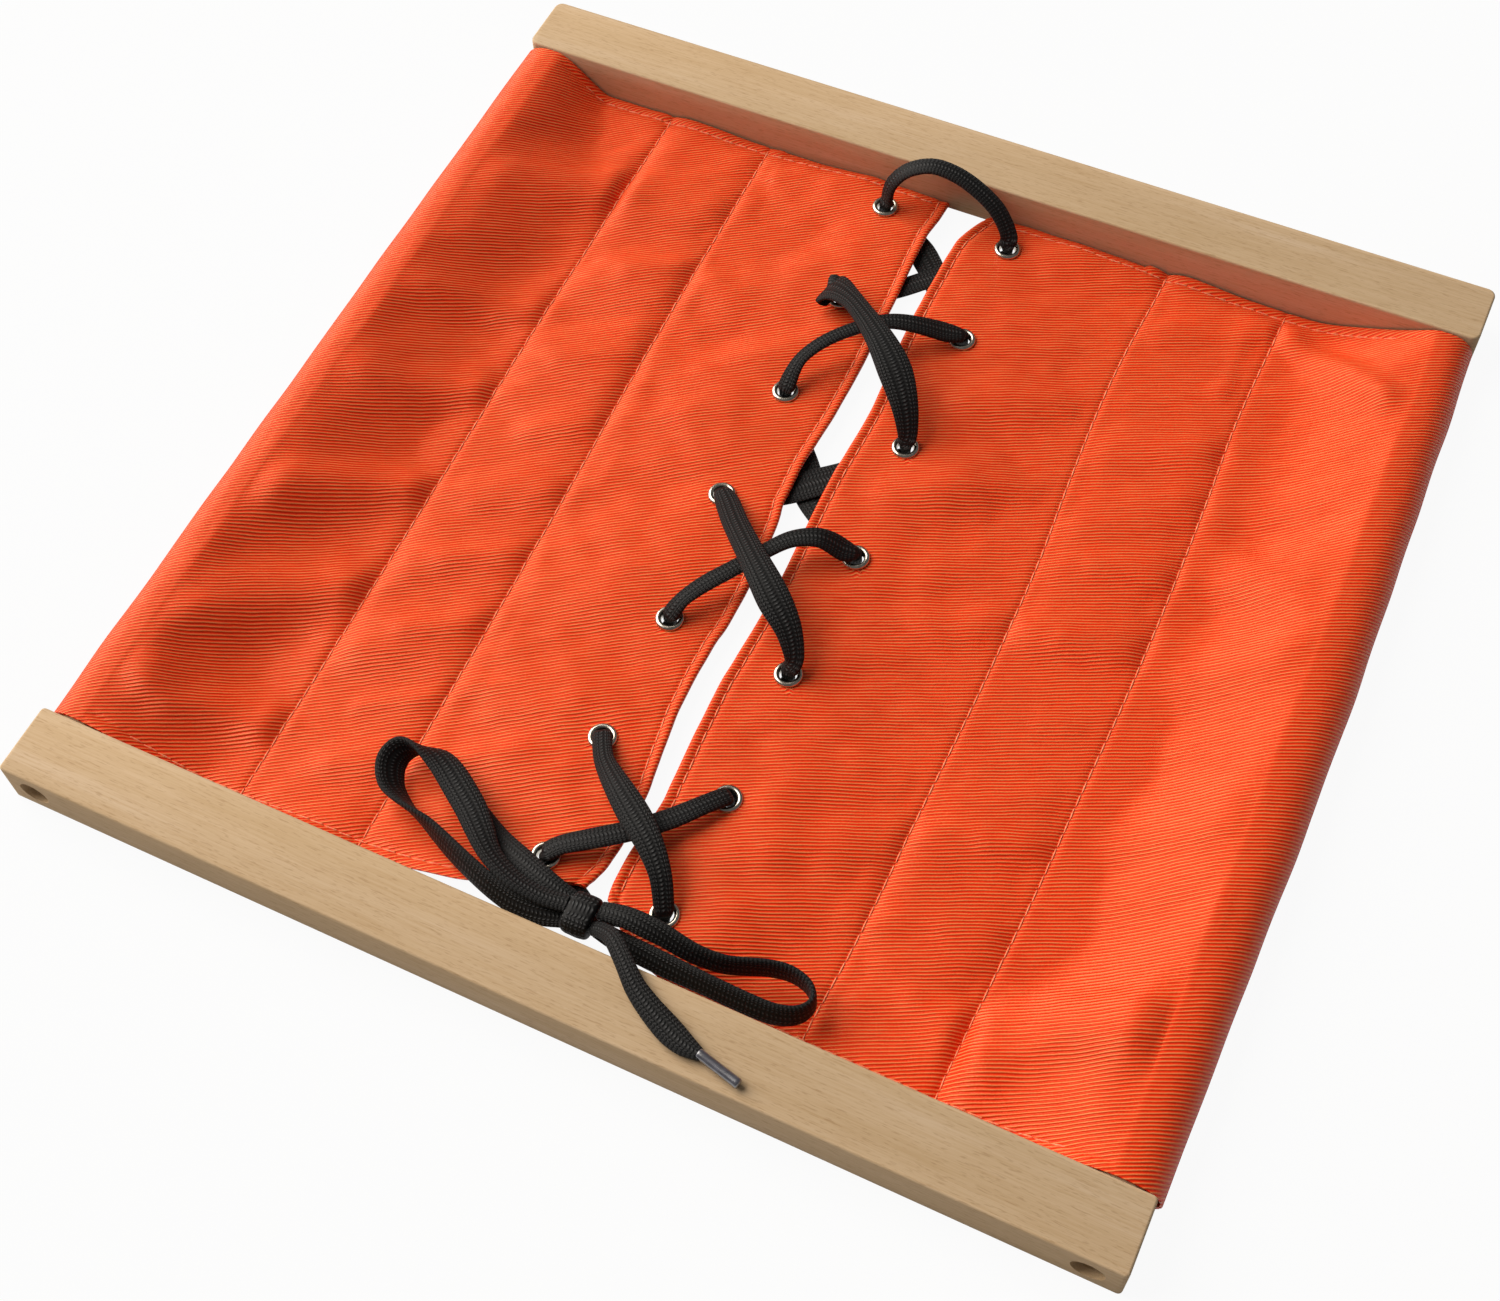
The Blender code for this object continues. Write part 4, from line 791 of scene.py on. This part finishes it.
def rail_screw(name):
    """A pan-head screw with a crossed recess, seated in its counterbore."""
    low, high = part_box(name)
    outwards = 1 if low.y > 0 else -1
    crown = high.y if outwards > 0 else low.y
    length = high.y - low.y
    profile = [(radius * MM, -depth * MM) for radius, depth in HEAD_CROWN]
    profile += [
        (HEAD_RADIUS, -HEAD_HEIGHT),
        (SHANK_RADIUS, -HEAD_HEIGHT),
        (SHANK_RADIUS, POINT_LENGTH - length),
        (POINT_RADIUS, -length),
        (0.0, -length),
    ]
    shape = turned_from(profile, SCREW_SIDES)
    place = Matrix.Translation(((low.x + high.x) / 2, crown, (low.z + high.z) / 2))
    lying = Matrix.Rotation(-outwards * math.pi / 2, 4, "X")
    turned = place @ lying @ Matrix.Rotation(RECESS_TURN, 4, "Z")
    shape.transform(turned)
    piece = piece_from(f"{name}_zinc", shape, ZINC)
    slots = []
    for span in ((RECESS_SPAN, RECESS_WIDTH), (RECESS_WIDTH, RECESS_SPAN)):
        half = Vector((*span, 2 * RECESS_DEPTH)) / 2
        slot_shape = block(-half, half)
        slot_shape.transform(turned)
        slots.append(slot_shape)
    cut_away(piece, slots)
    piece.data.set_sharp_from_angle(angle=math.radians(35))
    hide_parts(name)
    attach(piece, "frame")


def eyelet_centres(name):
    """Middles of one flap's eyelets, from the back row to the front one."""
    rows = range(1, EYELET_ROWS + 1)
    return [sum(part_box(f"eyelet_{name}_{row}"), Vector()) / 2 for row in rows]


CENTRES = {LEFT: eyelet_centres("left"), RIGHT: eyelet_centres("right")}


def eyelet(name, row, side):
    """A flanged barrel: a rolled bead on the cloth's face and a flattened curl behind it."""
    low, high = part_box(f"eyelet_{name}_{row}")
    centre = CENTRES[side][row - 1]
    bead = (BORE_RADIUS + FLANGE_RADIUS) / 2
    half_bead = (FLANGE_RADIUS - BORE_RADIUS) / 2
    face = high.z - FLANGE_BASE
    profile = [(BORE_RADIUS, low.z)]
    for step in range(BEAD_STEPS + 1):
        angle = math.pi * (1 - step / BEAD_STEPS)
        profile.append((bead + half_bead * math.cos(angle), face + BEAD_RISE * math.sin(angle)))
    profile += [
        (FLANGE_RADIUS, face - FLANGE_EDGE),
        (BARREL_RADIUS, face - FLANGE_EDGE),
        (BARREL_RADIUS, low.z + CURL_INSIDE),
        (BACK_RADIUS, low.z + CURL_TOP),
        (BACK_RADIUS, low.z + CURL_FOOT),
        (BACK_RADIUS - CURL_ROUND, low.z),
    ]
    shape = turned_from(profile, EYELET_SIDES, closed=True)
    bmesh.ops.translate(shape, vec=(centre.x, centre.y, 0), verts=shape.verts)
    piece = piece_from(f"eyelet_{name}_{row}_nickel", shape, NICKEL)
    piece.data.set_sharp_from_angle(angle=math.radians(45))
    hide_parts(f"eyelet_{name}_{row}")
    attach(piece, f"{name}_flap")


def smooth_step(share):
    """From 0 to 1 with a soft start and end, level beyond them."""
    share = min(max(share, 0.0), 1.0)
    return share * share * (3 - 2 * share)


def bell(distance, half_width):
    """1 at no distance, falling softly to nothing at about twice the half width."""
    return math.exp(-(distance / half_width) ** 2)


def follow(table, place):
    """The smooth line through a table of (place, value) pairs, level beyond its ends."""
    if place <= table[0][0]:
        return table[0][1]
    if place >= table[-1][0]:
        return table[-1][1]
    index = bisect.bisect_right(table, (place, math.inf)) - 1
    (first, low), (second, high) = table[index], table[index + 1]
    before, after = table[max(index - 1, 0)], table[min(index + 2, len(table) - 1)]
    span = second - first
    leaving = span * (high - before[1]) / (second - before[0])
    arriving = span * (after[1] - low) / (after[0] - first)
    share = (place - first) / span
    left = 1 - share
    from_low = left * left * (low * (1 + 2 * share) + leaving * share)
    return from_low + share * share * (high * (3 - 2 * share) - arriving * left)


def nearest_on(crest, x, y, reach):
    """The way from the crest's nearest point to this place, or None beyond the reach."""
    nearest = None
    for (x0, y0), (x1, y1) in zip(crest, crest[1:]):
        if not min(x0, x1) - reach < x < max(x0, x1) + reach:
            continue
        if not min(y0, y1) - reach < y < max(y0, y1) + reach:
            continue
        run_x, run_y = x1 - x0, y1 - y0
        share = ((x - x0) * run_x + (y - y0) * run_y) / (run_x * run_x + run_y * run_y)
        share = min(max(share, 0.0), 1.0)
        off_x, off_y = x - x0 - run_x * share, y - y0 - run_y * share
        if nearest is None or math.hypot(off_x, off_y) < math.hypot(*nearest):
            nearest = (off_x, off_y)
    return nearest


def ridge_lift(side, x, y):
    """Height that the single folds add at this place. Each is steeper on its front and right flank."""
    total = 0.0
    for height, front_width, back_width, crest in RIDGES[side]:
        off = nearest_on(crest, x, y, RIDGE_REACH * max(front_width, back_width))
        if off:
            distance = math.hypot(*off)
            ahead = RIDGE_FRONT[0] * off[0] + RIDGE_FRONT[1] * off[1]
            turn = smooth_step(0.5 + 0.5 * ahead / (distance + 1.0))
            total += height * bell(distance, back_width + (front_width - back_width) * turn)
    return total


def on_ribs(side, x, y):
    """The place along and across the twill's ribs, which rise to the right."""
    c, s = math.cos(RIB_TURN[side]), math.sin(RIB_TURN[side])
    return x * c + y * s, y * c - x * s


def ripples(side, x, y):
    """Loose waves that run along the ribs, and finer ones among them."""
    along, across = on_ribs(side, x, y)
    total = 0.0
    for height, length, width, place in RIPPLES:
        total += height * noise.noise(Vector((along / length, across / width, RIPPLE_PLACE * side + place)))
    return total


def puckers(y, seam_gap, place):
    """Small gathers beside a seam, one for every few stitches, from this place in the noise."""
    gathers = noise.noise(Vector((y / PUCKER_PITCH, seam_gap / PUCKER_SPREAD, place)))
    return PUCKER_HEIGHT * gathers * bell(seam_gap, PUCKER_REACH)


def row_place(side, out, share):
    """Where along Y this share of the way from the back hem to the front one is."""
    return HEM_PLACE - share * (2 * HEM_PLACE - follow(FRONT_HEM[side], out))


def shoulder(side, y):
    """Where the cloth leaves the side rail's round: distance out, height, width and slope of its fall."""
    width = follow(FALL_WIDTH[side], y)
    steepness = math.atan((2 - FALL_BULGE) * (RAIL_TOP - LAID_Z) / width)
    out = RAIL_IN + SLEEVE_BEND - BEND * math.sin(steepness)
    return out, RAIL_TOP - SLEEVE_BEND + BEND * math.cos(steepness), width, steepness


def top_height(side, out, y):
    """Height of the upper layer's middle at this place between the side rail and the free edge."""
    start, drop, width, _ = shoulder(side, y)
    edge, inner, outer = (follow(table[side], y) for table in (FREE_EDGE, INNER_SEAM, OUTER_SEAM))
    from_edge = out - edge
    from_back = HEM_PLACE - y
    from_front = y + HEM_PLACE - follow(FRONT_HEM[side], out)
    share = min(max((start - out) / width, 0.0), 1.0)
    level = LAID_Z + (drop - LAID_Z) * (1 - share) ** 2 * (1 + FALL_BULGE * share)
    level += STRIP_RISE * smooth_step((inner - out) / (inner - edge - STRIP_WIDTH))
    inner_gap, outer_gap = abs(out - inner), abs(out - outer)
    free = smooth_step((RAIL_IN + SLEEVE_HOLD - out) / SLEEVE_RELEASE)
    free *= smooth_step((from_edge - EDGE_HOLD) / EDGE_RELEASE)
    held = 1 - SEAM_HOLD * bell(min(inner_gap, outer_gap), SEAM_HOLD_WIDTH)
    puff = PUFF_RISE * smooth_step((out - inner) / PUFF_FLANK) * smooth_step((outer - out) / PUFF_FLANK)
    wave = (ripples(side, side * out, y) + ridge_lift(side, side * out, y) + puff) * free * held
    inner_puckers = puckers(y, inner_gap, INNER_PUCKER_PLACE + side)
    wave += inner_puckers + puckers(y, outer_gap, OUTER_PUCKER_PLACE + side)
    if out < inner - SEAM_TO_STRIP:
        near = min(math.hypot(side * out - c.x / MM, y - c.y / MM) for c in CENTRES[side])
        calm = 1 - bell(near, EYELET_HOLD_WIDTH)
        spot = Vector((out / STRIP_WAVE_OUT, y / STRIP_WAVE_ALONG, side * STRIP_PLACE))
        wave = (wave + STRIP_WAVE * noise.noise(spot)) * calm
        level -= BACK_HEM_DROP * smooth_step(1 - from_back / BACK_DROP_LENGTH) * calm
    height = level + max(wave, LAID_Z - level)
    height += HEM_RISE * bell(min(from_edge, from_back, from_front) - HEM_MIDDLE, HEM_ROUND)
    to_hem_stitches = [distance - HEM_STITCH for distance in (from_edge, from_back, from_front)]
    grooves = to_hem_stitches + [inner_gap, outer_gap]
    return height - GROOVE_DEPTH * max(bell(distance, GROOVE_WIDTH) for distance in grooves)


def arc(centre, radius, start, end, steps):
    """Points of an arc between two angles in degrees."""
    for index in range(steps + 1):
        angle = math.radians(start + (end - start) * index / steps)
        yield centre[0] + radius * math.cos(angle), centre[1] + radius * math.sin(angle)


def spread(start, end, steps):
    """Places after start up to end, evenly."""
    return [start + (end - start) * (index + 1) / steps for index in range(steps)]


def cloth_section(side, share):
    """The flap's strip cut across, as (out, y, height), from the lower layer's end to the turned hem."""
    y = row_place(side, INNER_SEAM[side][0][1], share)
    y_edge = row_place(side, FREE_EDGE[side][0][1], share)
    edge = follow(FREE_EDGE[side], y_edge)
    inner, outer = follow(INNER_SEAM[side], y), follow(OUTER_SEAM[side], y)
    slack = follow(SLACK[side], y)
    slack += SLACK_WANDER * noise.noise(Vector((y / SLACK_WANDER_LENGTH, side * SLACK_PLACE, 0)))
    lift = SLEEVE_LIFT * noise.noise(Vector((y / SLEEVE_LIFT_LENGTH, side * LIFT_PLACE, 4)))
    lift = max(0.0, lift) * math.sin(math.pi * share)
    low = TABLE_GAP + HALF_CLOTH
    round_out, round_in = RAIL_OUT - SLEEVE_BEND, RAIL_IN + SLEEVE_BEND
    high = RAIL_TOP - SLEEVE_BEND
    line = [(inner - STITCH_ALLOWANCE, low)]
    line += [(out, low) for out in spread(inner, round_out, UNDER_STEPS)]
    turned = len(line)
    line += list(arc((0, RAIL_BASE + SLEEVE_BEND), BEND, -90, 0, TURN_STEPS))[1:]
    line += arc((0, high), BEND, 0, 90, TURN_STEPS)
    loose = BEND + slack
    line[turned:] = [(round_out + across * loose / BEND, height) for across, height in line[turned:]]
    line += [(out, high + BEND + lift) for out in spread(round_out, round_in, RAIL_TOP_STEPS)]
    start, _, _, steepness = shoulder(side, y)
    line += list(arc((round_in, high + lift), BEND, 90, 90 + math.degrees(steepness), SHOULDER_STEPS))[1:]
    outs = [start]
    for place, steps, count in (
        (outer, SEAM_STEPS, PANEL_STEPS),
        (inner, SEAM_STEPS, PANEL_STEPS),
        (edge + HEM_STITCH, EDGE_STEPS, STRIP_STEPS),
    ):
        outs += spread(outs[-1], place + steps[0], count)
        outs += [place + step for step in steps[1:]]
    section = [(out, row_place(side, out, share), height) for out, height in line]
    for out in outs[1:]:
        place = row_place(side, out, share)
        section.append((out, place, top_height(side, out, place)))
    fold = (CLOTH + LAYER_GAP) / 2
    lip = section[-1][2]
    under = list(arc((edge + HALF_CLOTH + fold, lip - fold), fold, 90, 270, HEM_TURN_STEPS))
    under += [(edge + part * HEM_WIDTH, lip - 2 * fold) for part in (0.5, 1.0)]
    section += [(out, row_place(side, out, share), height) for out, height in under]
    return section


def flap(name, side):
    """The flap as one strip of twill, laid out on a grid: columns across the strip, rows along Y."""
    lines = []
    for row in range(CLOTH_ROWS + 1):
        even = row / CLOTH_ROWS
        lines.append(cloth_section(side, even - ROW_CROWDING * math.sin(2 * math.pi * even) / (2 * math.pi)))
    columns = len(lines[0])
    shape = bmesh.new()
    bmesh.ops.create_grid(shape, x_segments=columns - 1, y_segments=CLOTH_ROWS, size=1.0)
    cloth_map = shape.loops.layers.uv.new("cloth")
    lengths = strip_lengths(lines[CLOTH_ROWS // 2])
    marks = {}
    for vert in shape.verts:
        column = round((vert.co.x + 1) / 2 * (columns - 1))
        row = round((1 - vert.co.y) / 2 * CLOTH_ROWS)
        out, y, height = lines[row][column]
        vert.co = Vector((side * out, y, height)) * MM
        marks[vert] = Vector(on_ribs(side, side * lengths[column], y)) * MM
    for face in shape.faces:
        for loop in face.loops:
            loop[cloth_map].uv = marks[loop.vert]
    if side == RIGHT:
        bmesh.ops.reverse_faces(shape, faces=shape.faces)
    punch_eyelet_holes(shape, side)
    piece = piece_from(f"{name}_panel_twill", shape, TWILL)
    thick = piece.modifiers.new("cloth thickness", "SOLIDIFY")
    thick.thickness = CLOTH * MM
    thick.offset = 0
    settle(piece)
    piece.data.set_sharp_from_angle(angle=math.radians(60))
    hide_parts(f"{name}_panel")
    return piece


def strip_lengths(line):
    """Distance of each point of a section from the free edge, along the cloth."""
    lengths = [0.0]
    for (out, _, height), (next_out, _, next_height) in zip(line[::-1], line[-2::-1]):
        lengths.append(lengths[-1] + math.hypot(next_out - out, next_height - height))
    return lengths[::-1]


def punch_eyelet_holes(shape, side):
    """Takes out the cloth inside each eyelet's barrel and rounds the hole's rim."""
    gone = set()
    for face in shape.faces:
        middle = face.calc_center_median()
        if middle.z > UPPER_LAYER_Z and any((middle - c).xy.length < HOLE_RADIUS for c in CENTRES[side]):
            gone.add(face)
    bmesh.ops.delete(shape, geom=list(gone), context="FACES")
    for vert in shape.verts:
        for centre in CENTRES[side]:
            off = (vert.co - centre).xy
            if vert.is_boundary and off.length < 2 * HOLE_RADIUS and vert.co.z > UPPER_LAYER_Z:
                off = off.normalized() * HOLE_RADIUS
                vert.co.x, vert.co.y = centre.x + off.x, centre.y + off.y


def lay_stitch(shape, place, along):
    """One stitch: a slim bead of thread pressed into the cloth, a little askew to its seam."""
    made = bmesh.ops.create_uvsphere(shape, u_segments=6, v_segments=4, radius=0.5)
    along = along.normalized()
    across = Vector((0, 0, 1)).cross(along).normalized()
    along = (along + across * STITCH_SLANT).normalized()
    up = along.cross(across)
    basis = Matrix((across * STITCH_THICK, up * STITCH_THICK, along * STITCH_LENGTH)).transposed().to_4x4()
    placed = Matrix.Scale(MM, 4) @ Matrix.Translation(place) @ basis
    bmesh.ops.transform(shape, matrix=placed, verts=made["verts"])


def stitch_line(shape, side, points):
    """Stitches at an even pitch on the cloth along points given as (out, y)."""
    route = [Vector((side * out, y, top_height(side, out, y) + STITCH_RISE)) for out, y in points]
    travelled, due = 0.0, STITCH_PITCH / 2
    for first, second in zip(route, route[1:]):
        step = (second - first).length
        while due <= travelled + step:
            lay_stitch(shape, first.lerp(second, (due - travelled) / step), second - first)
            due += STITCH_PITCH
        travelled += step


def stitching(name, side):
    """Every visible seam of one flap: two across the strip, one along the gap, one on each hem."""
    shape = bmesh.new()
    shares = [index / SEAM_POINTS for index in range(1, SEAM_POINTS)]
    for table, inset in ((OUTER_SEAM, 0.0), (INNER_SEAM, 0.0), (FREE_EDGE, HEM_STITCH)):
        near = table[side][0][1]
        places = [row_place(side, near, share) for share in shares]
        stitch_line(shape, side, [(follow(table[side], y) + inset, y) for y in places])
    first, reach = HEM_STITCH + HEM_SEAM_START, RAIL_IN - HEM_STITCH - HEM_SEAM_SHORT
    outs = [first + reach * share for share in shares]
    stitch_line(shape, side, [(out, HEM_PLACE - HEM_STITCH) for out in outs])
    stitch_line(shape, side, [(out, follow(FRONT_HEM[side], out) + HEM_STITCH - HEM_PLACE) for out in outs])
    return piece_from(f"{name}_stitching", shape, THREAD)


def drape(name, side):
    """Makes one flap and its stitching, and bakes their placing into their meshes."""
    panel = flap(name, side)
    seams = stitching(name, side)
    for piece in (panel, seams):
        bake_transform(piece)


def refine(route):
    """Twice as many points on a smooth curve through the route."""
    fine = [route[0]]
    for index in range(len(route) - 1):
        before, after = route[max(index - 1, 0)], route[min(index + 2, len(route) - 1)]
        first, second = route[index], route[index + 1]
        fine.append([(9 * (a + b) - p - n) / 16 for a, b, p, n in zip(first, second, before, after)])
        fine.append(list(second))
    return fine


def level_sides(ahead_list):
    """A level direction across the route at each point, carried on where the route stands upright."""
    sides = []
    for ahead in ahead_list:
        level = Vector((-ahead.y, ahead.x, 0))
        if level.length < STEEPEST_LEVEL_SHARE and sides:
            level = sides[-1].copy()
        level.normalize()
        if sides and level.dot(sides[-1]) < 0:
            level.negate()
        sides.append(level)
    for _ in range(LEVEL_ROUNDS):
        smoothed = [(a + 2 * b + c).normalized() for a, b, c in zip(sides, sides[1:], sides[2:])]
        sides = [sides[0], *smoothed, sides[-1]]
    return sides


def rounded(value, power):
    """The value's power with its sign kept, which squares a circle."""
    return math.copysign(abs(value) ** power, value)


def band(name, route, material, times=3, sides=LACE_SIDES):
    """A flat band with rounded edges along a route in millimetres. Returns the piece and its middle line."""
    for _ in range(times):
        route = refine(route)
    places = [Vector(point[:3]) for point in route]
    befores, afters = [places[0], *places[:-1]], [*places[1:], places[-1]]
    ahead_list = [(after - before).normalized() for before, after in zip(befores, afters)]
    across_list = level_sides(ahead_list)
    travelled = [0.0]
    for a, b in zip(places, places[1:]):
        travelled.append(travelled[-1] + (b - a).length)
    shape = bmesh.new()
    bmesh.ops.create_grid(shape, x_segments=sides, y_segments=len(route) - 1, size=1.0)
    braid_map = shape.loops.layers.uv.new("braid")
    marks = {}
    for vert in shape.verts:
        corner = round((vert.co.x + 1) / 2 * sides)
        row = round((vert.co.y + 1) / 2 * (len(route) - 1))
        width, thick, tilt = route[row][3:]
        ahead, level = ahead_list[row], across_list[row]
        level = (level - ahead * level.dot(ahead)).normalized()
        upward = ahead.cross(level).normalized()
        lean = math.radians(tilt)
        wide = level * math.cos(lean) + upward * math.sin(lean)
        high = upward * math.cos(lean) - level * math.sin(lean)
        angle = 2 * math.pi * (corner % sides + 0.5) / sides
        out = rounded(math.cos(angle), SQUARE_ACROSS) * width / 2
        rise = rounded(math.sin(angle), SQUARE_THROUGH) * thick / 2
        vert.co = (places[row] + wide * out + high * rise) * MM
        marks[vert] = (corner, row)
    for face in shape.faces:
        for loop in face.loops:
            corner, row = marks[loop.vert]
            loop[braid_map].uv = (LACE_GIRTH * corner / sides, travelled[row] * MM)
    bmesh.ops.remove_doubles(shape, verts=shape.verts, dist=MERGE_DISTANCE)
    bmesh.ops.holes_fill(shape, edges=[e for e in shape.edges if e.is_boundary], sides=0)
    bmesh.ops.recalc_face_normals(shape, faces=shape.faces)
    piece = piece_from(name, shape, material)
    return piece, [place * MM for place in places]


def bunch(side, row, kind, beyond):
    """The lace drawn together in an eyelet, leaning where it leaves on top towards the point beyond."""
    centre = CENTRES[side][row - 1] / MM
    lean = Vector((beyond[0] - centre.x, beyond[1] - centre.y)).normalized()
    points = []
    for z, width, thick, reach in BUNCH_STEPS:
        points.append((centre.x + lean.x * reach, centre.y + lean.y * reach, z, width, thick, 0))
    return points if kind == "up" else points[::-1]


def threading_route():
    """The lace from under the knot, up the left end of its run and down the right, row by row."""
    route = []
    for index, (kind, stretch) in enumerate(THREADING):
        if kind == "up":
            route += bunch(*stretch, kind, THREADING[index + 1][1][0])
        elif kind == "down":
            route += bunch(*stretch, kind, THREADING[index - 1][1][-1])
        else:
            thick = UNDER_THICK if kind == "under" else OVER_THICK
            route += [(*point, thick, 0) for point in stretch]
    return route


def aglet(name, ends):
    """A tube of film round the lace's end, a little crimped at its mouth and rounded at its tip."""
    start, end = (point * MM for point in ends)
    length = (end - start).length
    profile = [(share * AGLET_RADIUS, along * MM) for share, along in AGLET_MOUTH_SHARES]
    profile += [(share * AGLET_RADIUS, length - back * MM) for share, back in AGLET_TIP_SHARES]
    shape = turned_from(profile, AGLET_SIDES)
    turn = (end - start).to_track_quat("Z", "Y").to_matrix().to_4x4()
    shape.transform(Matrix.Translation(start) @ turn)
    piece = piece_from(f"{name}_film", shape, FILM)
    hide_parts(name)
    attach(piece, "lacing")
    return piece


def laid(route):
    """A loop's or a tail's points with their thickness and tilt. A tail lies level."""
    return [(*point[:4], OVER_THICK, point[4] if len(point) > 4 else 0) for point in route]


def lace():
    """The threaded run, the knot, the loops and the tails."""
    run, _ = band("lace_threading_braid", threading_route(), BRAID)
    level_knot = [(*point, 0) for point in KNOT]
    knot, _ = band("lace_knot_braid", level_knot, BRAID, times=1, sides=KNOT_SIDES)
    for piece, node in ((run, "lace_threading"), (knot, "lace_knot")):
        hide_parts(node)
        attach(piece, "lacing")
    tips = {"left": aglet("aglet_left", LEFT_AGLET), "right": aglet("aglet_right", RIGHT_AGLET)}
    for name, route, tip in (
        ("lace_left_loop", LEFT_LOOP, None),
        ("lace_right_loop", RIGHT_LOOP, None),
        ("lace_left_tail", LEFT_TAIL, tips["left"]),
        ("lace_right_tail", RIGHT_TAIL, tips["right"]),
    ):
        piece, middle = band(f"{name}_braid", laid(route), BRAID)
        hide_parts(name)
        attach(piece, "lacing")


def studio():
    """A white floor, a window to the left and the photograph's camera."""
    shape = bmesh.new()
    bmesh.ops.create_grid(shape, x_segments=1, y_segments=1, size=FLOOR_SIZE / 2)
    floor = new_object("table_top", mesh_from("table_top", shape))
    floor.data.materials.append(white_table())
    window = bpy.data.lights.new("window", "AREA")
    window.size = WINDOW_SIZE
    window.energy = WINDOW_POWER
    window.color = paint("#FFF8F0")[:3]
    lamp = new_object("window", window)
    facing = (-WINDOW_PLACE).to_track_quat("-Z", "Y").to_matrix().to_4x4()
    lamp.matrix_world = Matrix.Translation(WINDOW_PLACE) @ facing
    room_light()
    camera = new_object("camera", bpy.data.cameras.new("camera"))
    camera.data.sensor_width = SENSOR_WIDTH
    camera.data.lens = LENS
    camera.data.shift_x = SHIFT_X
    camera.data.shift_y = SHIFT_Y
    side = CAMERA_AHEAD.cross(CAMERA_UP).normalized()
    turn = Matrix((side, CAMERA_UP, -CAMERA_AHEAD)).transposed().to_4x4()
    camera.matrix_world = Matrix.Translation(CAMERA_PLACE) @ turn
    camera.data.clip_start = 0.01
    bpy.context.scene.camera = camera
    bpy.context.scene.view_settings.view_transform = "Standard"


def white_table():
    """Matt white board. To the camera and in gloss it also shines a little, so that it stays white."""
    material = bpy.data.materials.new("white_board_matt")
    material.use_nodes = True
    material.node_tree.nodes.clear()
    board = add(material, "ShaderNodeBsdfDiffuse", {"Color": paint("#D0D0D0")})
    glow = add(material, "ShaderNodeEmission", {"Color": paint("#FFFFFF"), "Strength": 1.0})
    path = add(material, "ShaderNodeLightPath")
    seen = path.outputs["Is Camera Ray"]
    for ray in ("Is Glossy Ray", "Is Transmission Ray"):
        either = {0: seen, 1: path.outputs[ray]}
        seen = add(material, "ShaderNodeMath", either, operation="MAXIMUM").outputs["Value"]
    share = add(material, "ShaderNodeMath", {0: seen, 1: FLOOR_GLOW}, operation="MULTIPLY").outputs["Value"]
    layers = {0: share, 1: board.outputs["BSDF"], 2: glow.outputs["Emission"]}
    both = add(material, "ShaderNodeMixShader", layers)
    add(material, "ShaderNodeOutputMaterial", {"Surface": both.outputs["Shader"]})
    return material


def room_light():
    """Pale walls all round, white where the camera sees them."""
    world = bpy.data.worlds.new("room")
    world.use_nodes = True
    bpy.context.scene.world = world
    walls = world.node_tree.nodes["Background"]
    walls.inputs["Color"].default_value = paint("#FFFFFF")
    path = add(world, "ShaderNodeLightPath")
    levels = {"Value": path.outputs["Is Camera Ray"], "To Min": WALL_LIGHT, "To Max": 1.0}
    strength = add(world, "ShaderNodeMapRange", levels)
    world.node_tree.links.new(strength.outputs["Result"], walls.inputs["Strength"])


def dress_side_rails():
    """Beech on the side rails in their sleeves, its grain turned along them."""
    for name in ("left_side_rail", "right_side_rail"):
        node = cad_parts[name]
        node.data.materials.clear()
        node.data.materials.append(BEECH_ALONG_Y)


def main():
    studio()
    lace()
    bare_rail("front_rail", FRONT_CORNER_ROUND, -1)
    bare_rail("back_rail", BACK_CORNER_ROUND, 1)
    dress_side_rails()
    for place in ("front_left", "front_right", "back_left", "back_right"):
        rail_screw(f"rail_screw_{place}")
    for name, side in (("left", LEFT), ("right", RIGHT)):
        drape(name, side)
        for row in range(1, EYELET_ROWS + 1):
            eyelet(name, row, side)


main()
